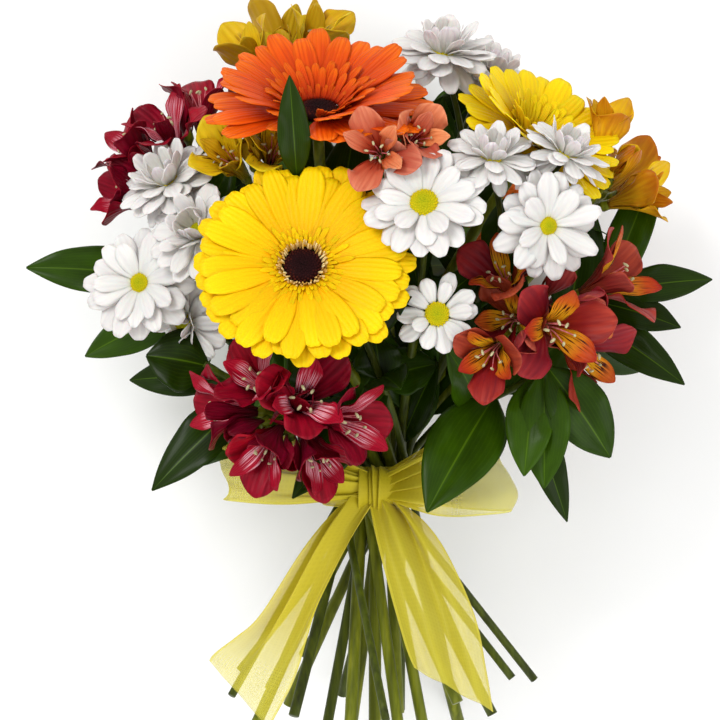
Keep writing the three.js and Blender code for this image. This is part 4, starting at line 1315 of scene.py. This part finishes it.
coil = []
for i in range(TWINE_TURNS * POINTS_A_TURN + 1):
    angle = 2 * math.pi * i / POINTS_A_TURN
    height = (i / POINTS_A_TURN - TWINE_TURNS / 2) * TWINE_PITCH
    coil.append(Vector((TWINE_RADIUS * math.cos(angle), height, TWINE_RADIUS * math.sin(angle))))
twine = stalk(coil, [TWINE_THICK] * len(coil), TWINE, fine=1, steps=3)
finished("jute_binding", [twine], "twine", "binding_twine")
print("twine", TWINE_TURNS, "turns")

# %% [markdown]
# ## The organza bow
#
# The ribbon is one length of organza, 50 mm wide: sheer, a little stiff, with a denser selvedge
# on both edges. Real threads are too fine to model, so they are a pattern in how much of the light
# the cloth stops. Where the ribbon is gathered, its layers of threads cover more.

# %% Organza
RIBBON_WIDTH = 50
THREAD_PITCH = 1.6  # real organza has about three threads a millimetre, too fine to show
SELVEDGE = (0.47, 0.48)  # where it begins, from the middle line, in shares of the width


def organza_material():
    """Reads a UV map in which one unit is the ribbon's width, in both directions. The attribute
    `gather` says how far a place is gathered."""
    material, tree, shader = new_material("organza_yellow", Roughness=0.5, Specular_IOR_Level=0.25,
                                          Sheen_Weight=0.2, Sheen_Roughness=0.4)
    uv = add(tree, "UVMap", uv_map="UVMap")
    warp, weft = [
        add(tree, "TexWave", {"Vector": uv, "Scale": RIBBON_WIDTH / THREAD_PITCH * ONE_WAVE},
            out="Fac", bands_direction=direction) for direction in "XY"]
    edge = add(tree, "MapRange", {
        "Value": from_middle(tree, uv), "From Min": SELVEDGE[0], "From Max": SELVEDGE[1],
        "To Max": 0.2})
    weave = add(tree, "Math", {0: warp, 1: weft}, operation="MAXIMUM")
    cover = add(tree, "MapRange", {"Value": weave, "To Min": 0.16, "To Max": 0.2})
    gather = add(tree, "Attribute", attribute_name="gather", out="Fac")
    layers = add(tree, "Math", {0: gather, 1: 0.7, 2: edge}, operation="MULTIPLY_ADD")
    alpha = add(tree, "Math", {0: cover, 1: layers}, operation="ADD")
    tree.links.new(alpha, shader.inputs["Alpha"])
    colour = add(tree, "ValToRGB", {"Fac": gather}, [(0, "E0DA5C"), (0.7, "D4C220")])
    tree.links.new(colour, shader.inputs["Base Color"])
    return material


ORGANZA = organza_material()
print("finish", ORGANZA.name)

# %% [markdown]
# A ribbon that is gathered where it is tied folds into pleats, which fan out towards its ends. Cloth
# simulation could drape it, but the folds of a tied bow are set by its gathers more than by its
# weight. So each stretch follows a line of stations with a direction across it, and the depth of
# its pleats is worked out in every row, so that the cloth keeps its 50 mm however far it is
# gathered. The pleats lean over each other, as pressed knife pleats do.

# %% Rows of pleats
PLEAT_LEAN = 1.8  # how far a tight pleat lies over, beside its height
DEEPEST_PLEAT = 12.0
HALVINGS = 24  # each halves the doubt about the depth
SPREAD_OUT = 0.97  # a ribbon lies open up to this share of its width


def flowing(stations, count):
    """Points on a smooth line through the stations."""
    known = np.array(stations, float)
    known = np.vstack((2 * known[0] - known[1], known, 2 * known[-1] - known[-2]))
    line = []
    for place in np.linspace(0, len(known) - 3, count):
        i = min(int(place), len(known) - 4)
        t = place - i
        a, b, c, d = known[i:i + 4]
        line.append(0.5 * (2 * b + (c - a) * t + (2 * a - 5 * b + 4 * c - d) * t ** 2
                           + (3 * b - a - 3 * c + d) * t ** 3))
    return np.array(line)


def pleat_depth(width, wave, lean):
    """How deep the pleats of a row are, so that the ribbon's width is kept."""
    low, high = 0.0, DEEPEST_PLEAT
    gap = width / (len(wave) - 1)
    for _ in range(HALVINGS):
        depth = (low + high) / 2
        if np.hypot(gap + lean * depth * np.diff(wave), depth * np.diff(wave)).sum() < RIBBON_WIDTH:
            low = depth
        else:
            high = depth
    return depth


def pleated_row(middle, across, ahead, shares, pleats, folds, phase, drift):
    """The points of a row, and how tightly it is gathered. It has fine pleats where it is tight,
    which merge into a few soft folds where it is open."""
    width = np.linalg.norm(across)
    side = across / width
    width = min(width, RIBBON_WIDTH * SPREAD_OUT)
    up = np.cross(side, ahead)
    up /= np.linalg.norm(up)
    tight = 1 - width / RIBBON_WIDTH
    turns = 2 * math.pi * shares
    uneven = 1 + 0.35 * np.sin(2.6 * math.pi * shares + 2 * phase + drift)
    fine = uneven * np.sin(turns * pleats + phase + 1.1 * np.sin(turns + drift))
    soft = np.sin(turns * folds + phase + drift)
    wave = fine * tight ** 1.5 + soft * (1 - tight)
    lean = PLEAT_LEAN * tight
    height = pleat_depth(width, wave, lean) * wave
    return middle + np.outer(width * shares + lean * height, side) + np.outer(height, up), tight


# %% One stretch of ribbon
CLOTH = 0.25  # thickness


def ribbon(name, stations, pleats, folds=1.6, rows=48, columns=72, dense=(0, 0)):
    """dense: how much more the threads cover at the two ends than in a smooth ribbon."""
    middle = flowing([place for place, _ in stations], rows)
    across = flowing([reach for _, reach in stations], rows)
    ahead = np.gradient(middle, axis=0)
    length = np.linalg.norm(np.diff(middle, axis=0), axis=1).sum()
    shares = np.linspace(-0.5, 0.5, columns + 1)
    phase = chance.uniform(0, 6)
    points, gathers = [], []
    for row in range(rows):
        drift = 0.6 * math.sin(row * 0.08 + phase)
        places, tight = pleated_row(middle[row], across[row], ahead[row], shares, pleats, folds, phase, drift)
        points.append(places)
        extra = dense[0] + (dense[1] - dense[0]) * row / (rows - 1)
        gathers += [tight + extra] * len(shares)
    bpy.ops.object.select_all(action="DESELECT")
    bpy.ops.mesh.primitive_grid_add(x_subdivisions=columns, y_subdivisions=rows - 1, size=1)
    made = bpy.context.object
    places = np.concatenate(points) * MM + np.array(TIE)
    made.data.vertices.foreach_set("co", places.astype(np.float32).ravel())
    made.data.attributes.new("gather", "FLOAT", "POINT").data.foreach_set("value", np.float32(gathers))
    for corner in made.data.uv_layers[0].data:
        corner.uv.y *= length / RIBBON_WIDTH
    made.data.materials.append(ORGANZA)
    walled(made, CLOTH, offset=0)
    finished(name, [made], "ribbon", "ribbon_bow")
    print(name, "flat length", round(length), "mm")


def turn_of_ribbon(name, middle, side, reach, gathered, start, pleats, rows):
    """A turn round a middle, out along `side` and up along Z, gathered to a width across both."""
    side, up = Vector(side), Vector((0, 0, 1))
    across = up.cross(side) * gathered
    angles = [math.radians(start + 15 * i) for i in range(25)]
    stations = [(Vector(middle) + side * reach[0] * math.cos(angle) + up * reach[1] * math.sin(angle), across)
                for angle in angles]
    ribbon(name, stations, pleats, rows=rows)


# %% [markdown]
# The wrap goes round the bound stems and the knot round the wrap. A loop leaves the knot narrow,
# opens, turns over and comes back under itself. A tail leaves it narrow too and opens towards its
# slanted end.

# %% Wrap, knot, loops and tails
turn_of_ribbon("ribbon_wrap", (0, 0, 0), (1, 0, 0), (25.4, 25.4), 18, 90, 5, 96)
turn_of_ribbon("ribbon_knot", (0, 1, 31), (0, 1, 0), (9, 6.5), 15, -90, 4, 48)
ribbon("ribbon_left_loop", [
    ((-4, 2, 34), (0, 12, 0)), ((-40, 11, 43), (3, 31, 0)), ((-68, 16, 43), (5, 38, 0)),
    ((-75, 17, 38), (6, 39, 0)), ((-68, 16, 33), (5, 38, 0)), ((-40, 11, 31), (3, 31, 0)),
    ((-4, 2, 26), (0, 12, 0))], 4, 1, rows=72, dense=(0.06, 0.06))
ribbon("ribbon_right_loop", [
    ((4, 2, 34), (0, 12, 0)), ((32, 7, 43), (0, 33, 0)), ((56, 11, 42), (-1, 43, 0)),
    ((64, 12, 37), (-2, 44, 0)), ((56, 11, 33), (-1, 43, 0)), ((32, 7, 31), (0, 33, 0)),
    ((4, 2, 26), (0, 12, 0))], 4, 1, rows=72, dense=(0.06, 0.06))
ribbon("ribbon_left_tail", [
    ((-3, -2, 32), (15, 4, 0)), ((-11, -9, 35), (22, 10, 0)), ((-23, -26, 40), (25, 9, 0)),
    ((-40, -57, 47), (29, 8, 0)), ((-49, -72, 51), (35, 0, 0)), ((-58, -86, 55), (38, -14, 0)),
    ((-66, -99, 57), (29, -33, 0))], 3, 2, dense=(0.18, 0.14))
ribbon("ribbon_right_tail", [
    ((3, -2, 32), (15, -4, 0)), ((9, -9, 35), (25, -8, 0)), ((17, -26, 40), (34, -8, 0)),
    ((28, -56, 49), (40, -8, 0)), ((34, -80, 58), (39, -12, 0)), ((38, -96, 61), (38, -21, 0))],
    3, 2.2, dense=(0.22, 0.24))

# %% [markdown]
# The blanks and the other masters have done their work.

# %% Finish
MASTERS = (
    gerbera_ray, fine_ray, daisy_ray, broad_tepal, narrow_tepal, leaf_blade, sepal_blade,
    disc_core, disc_floret, daisy_disc, eye_core, eye_floret, fringe_floret, plain_eye, gerbera_eye,
    GERBERA_CUP, DAISY_CUP, floret_stamens)
for master in MASTERS:
    bpy.data.objects.remove(master)
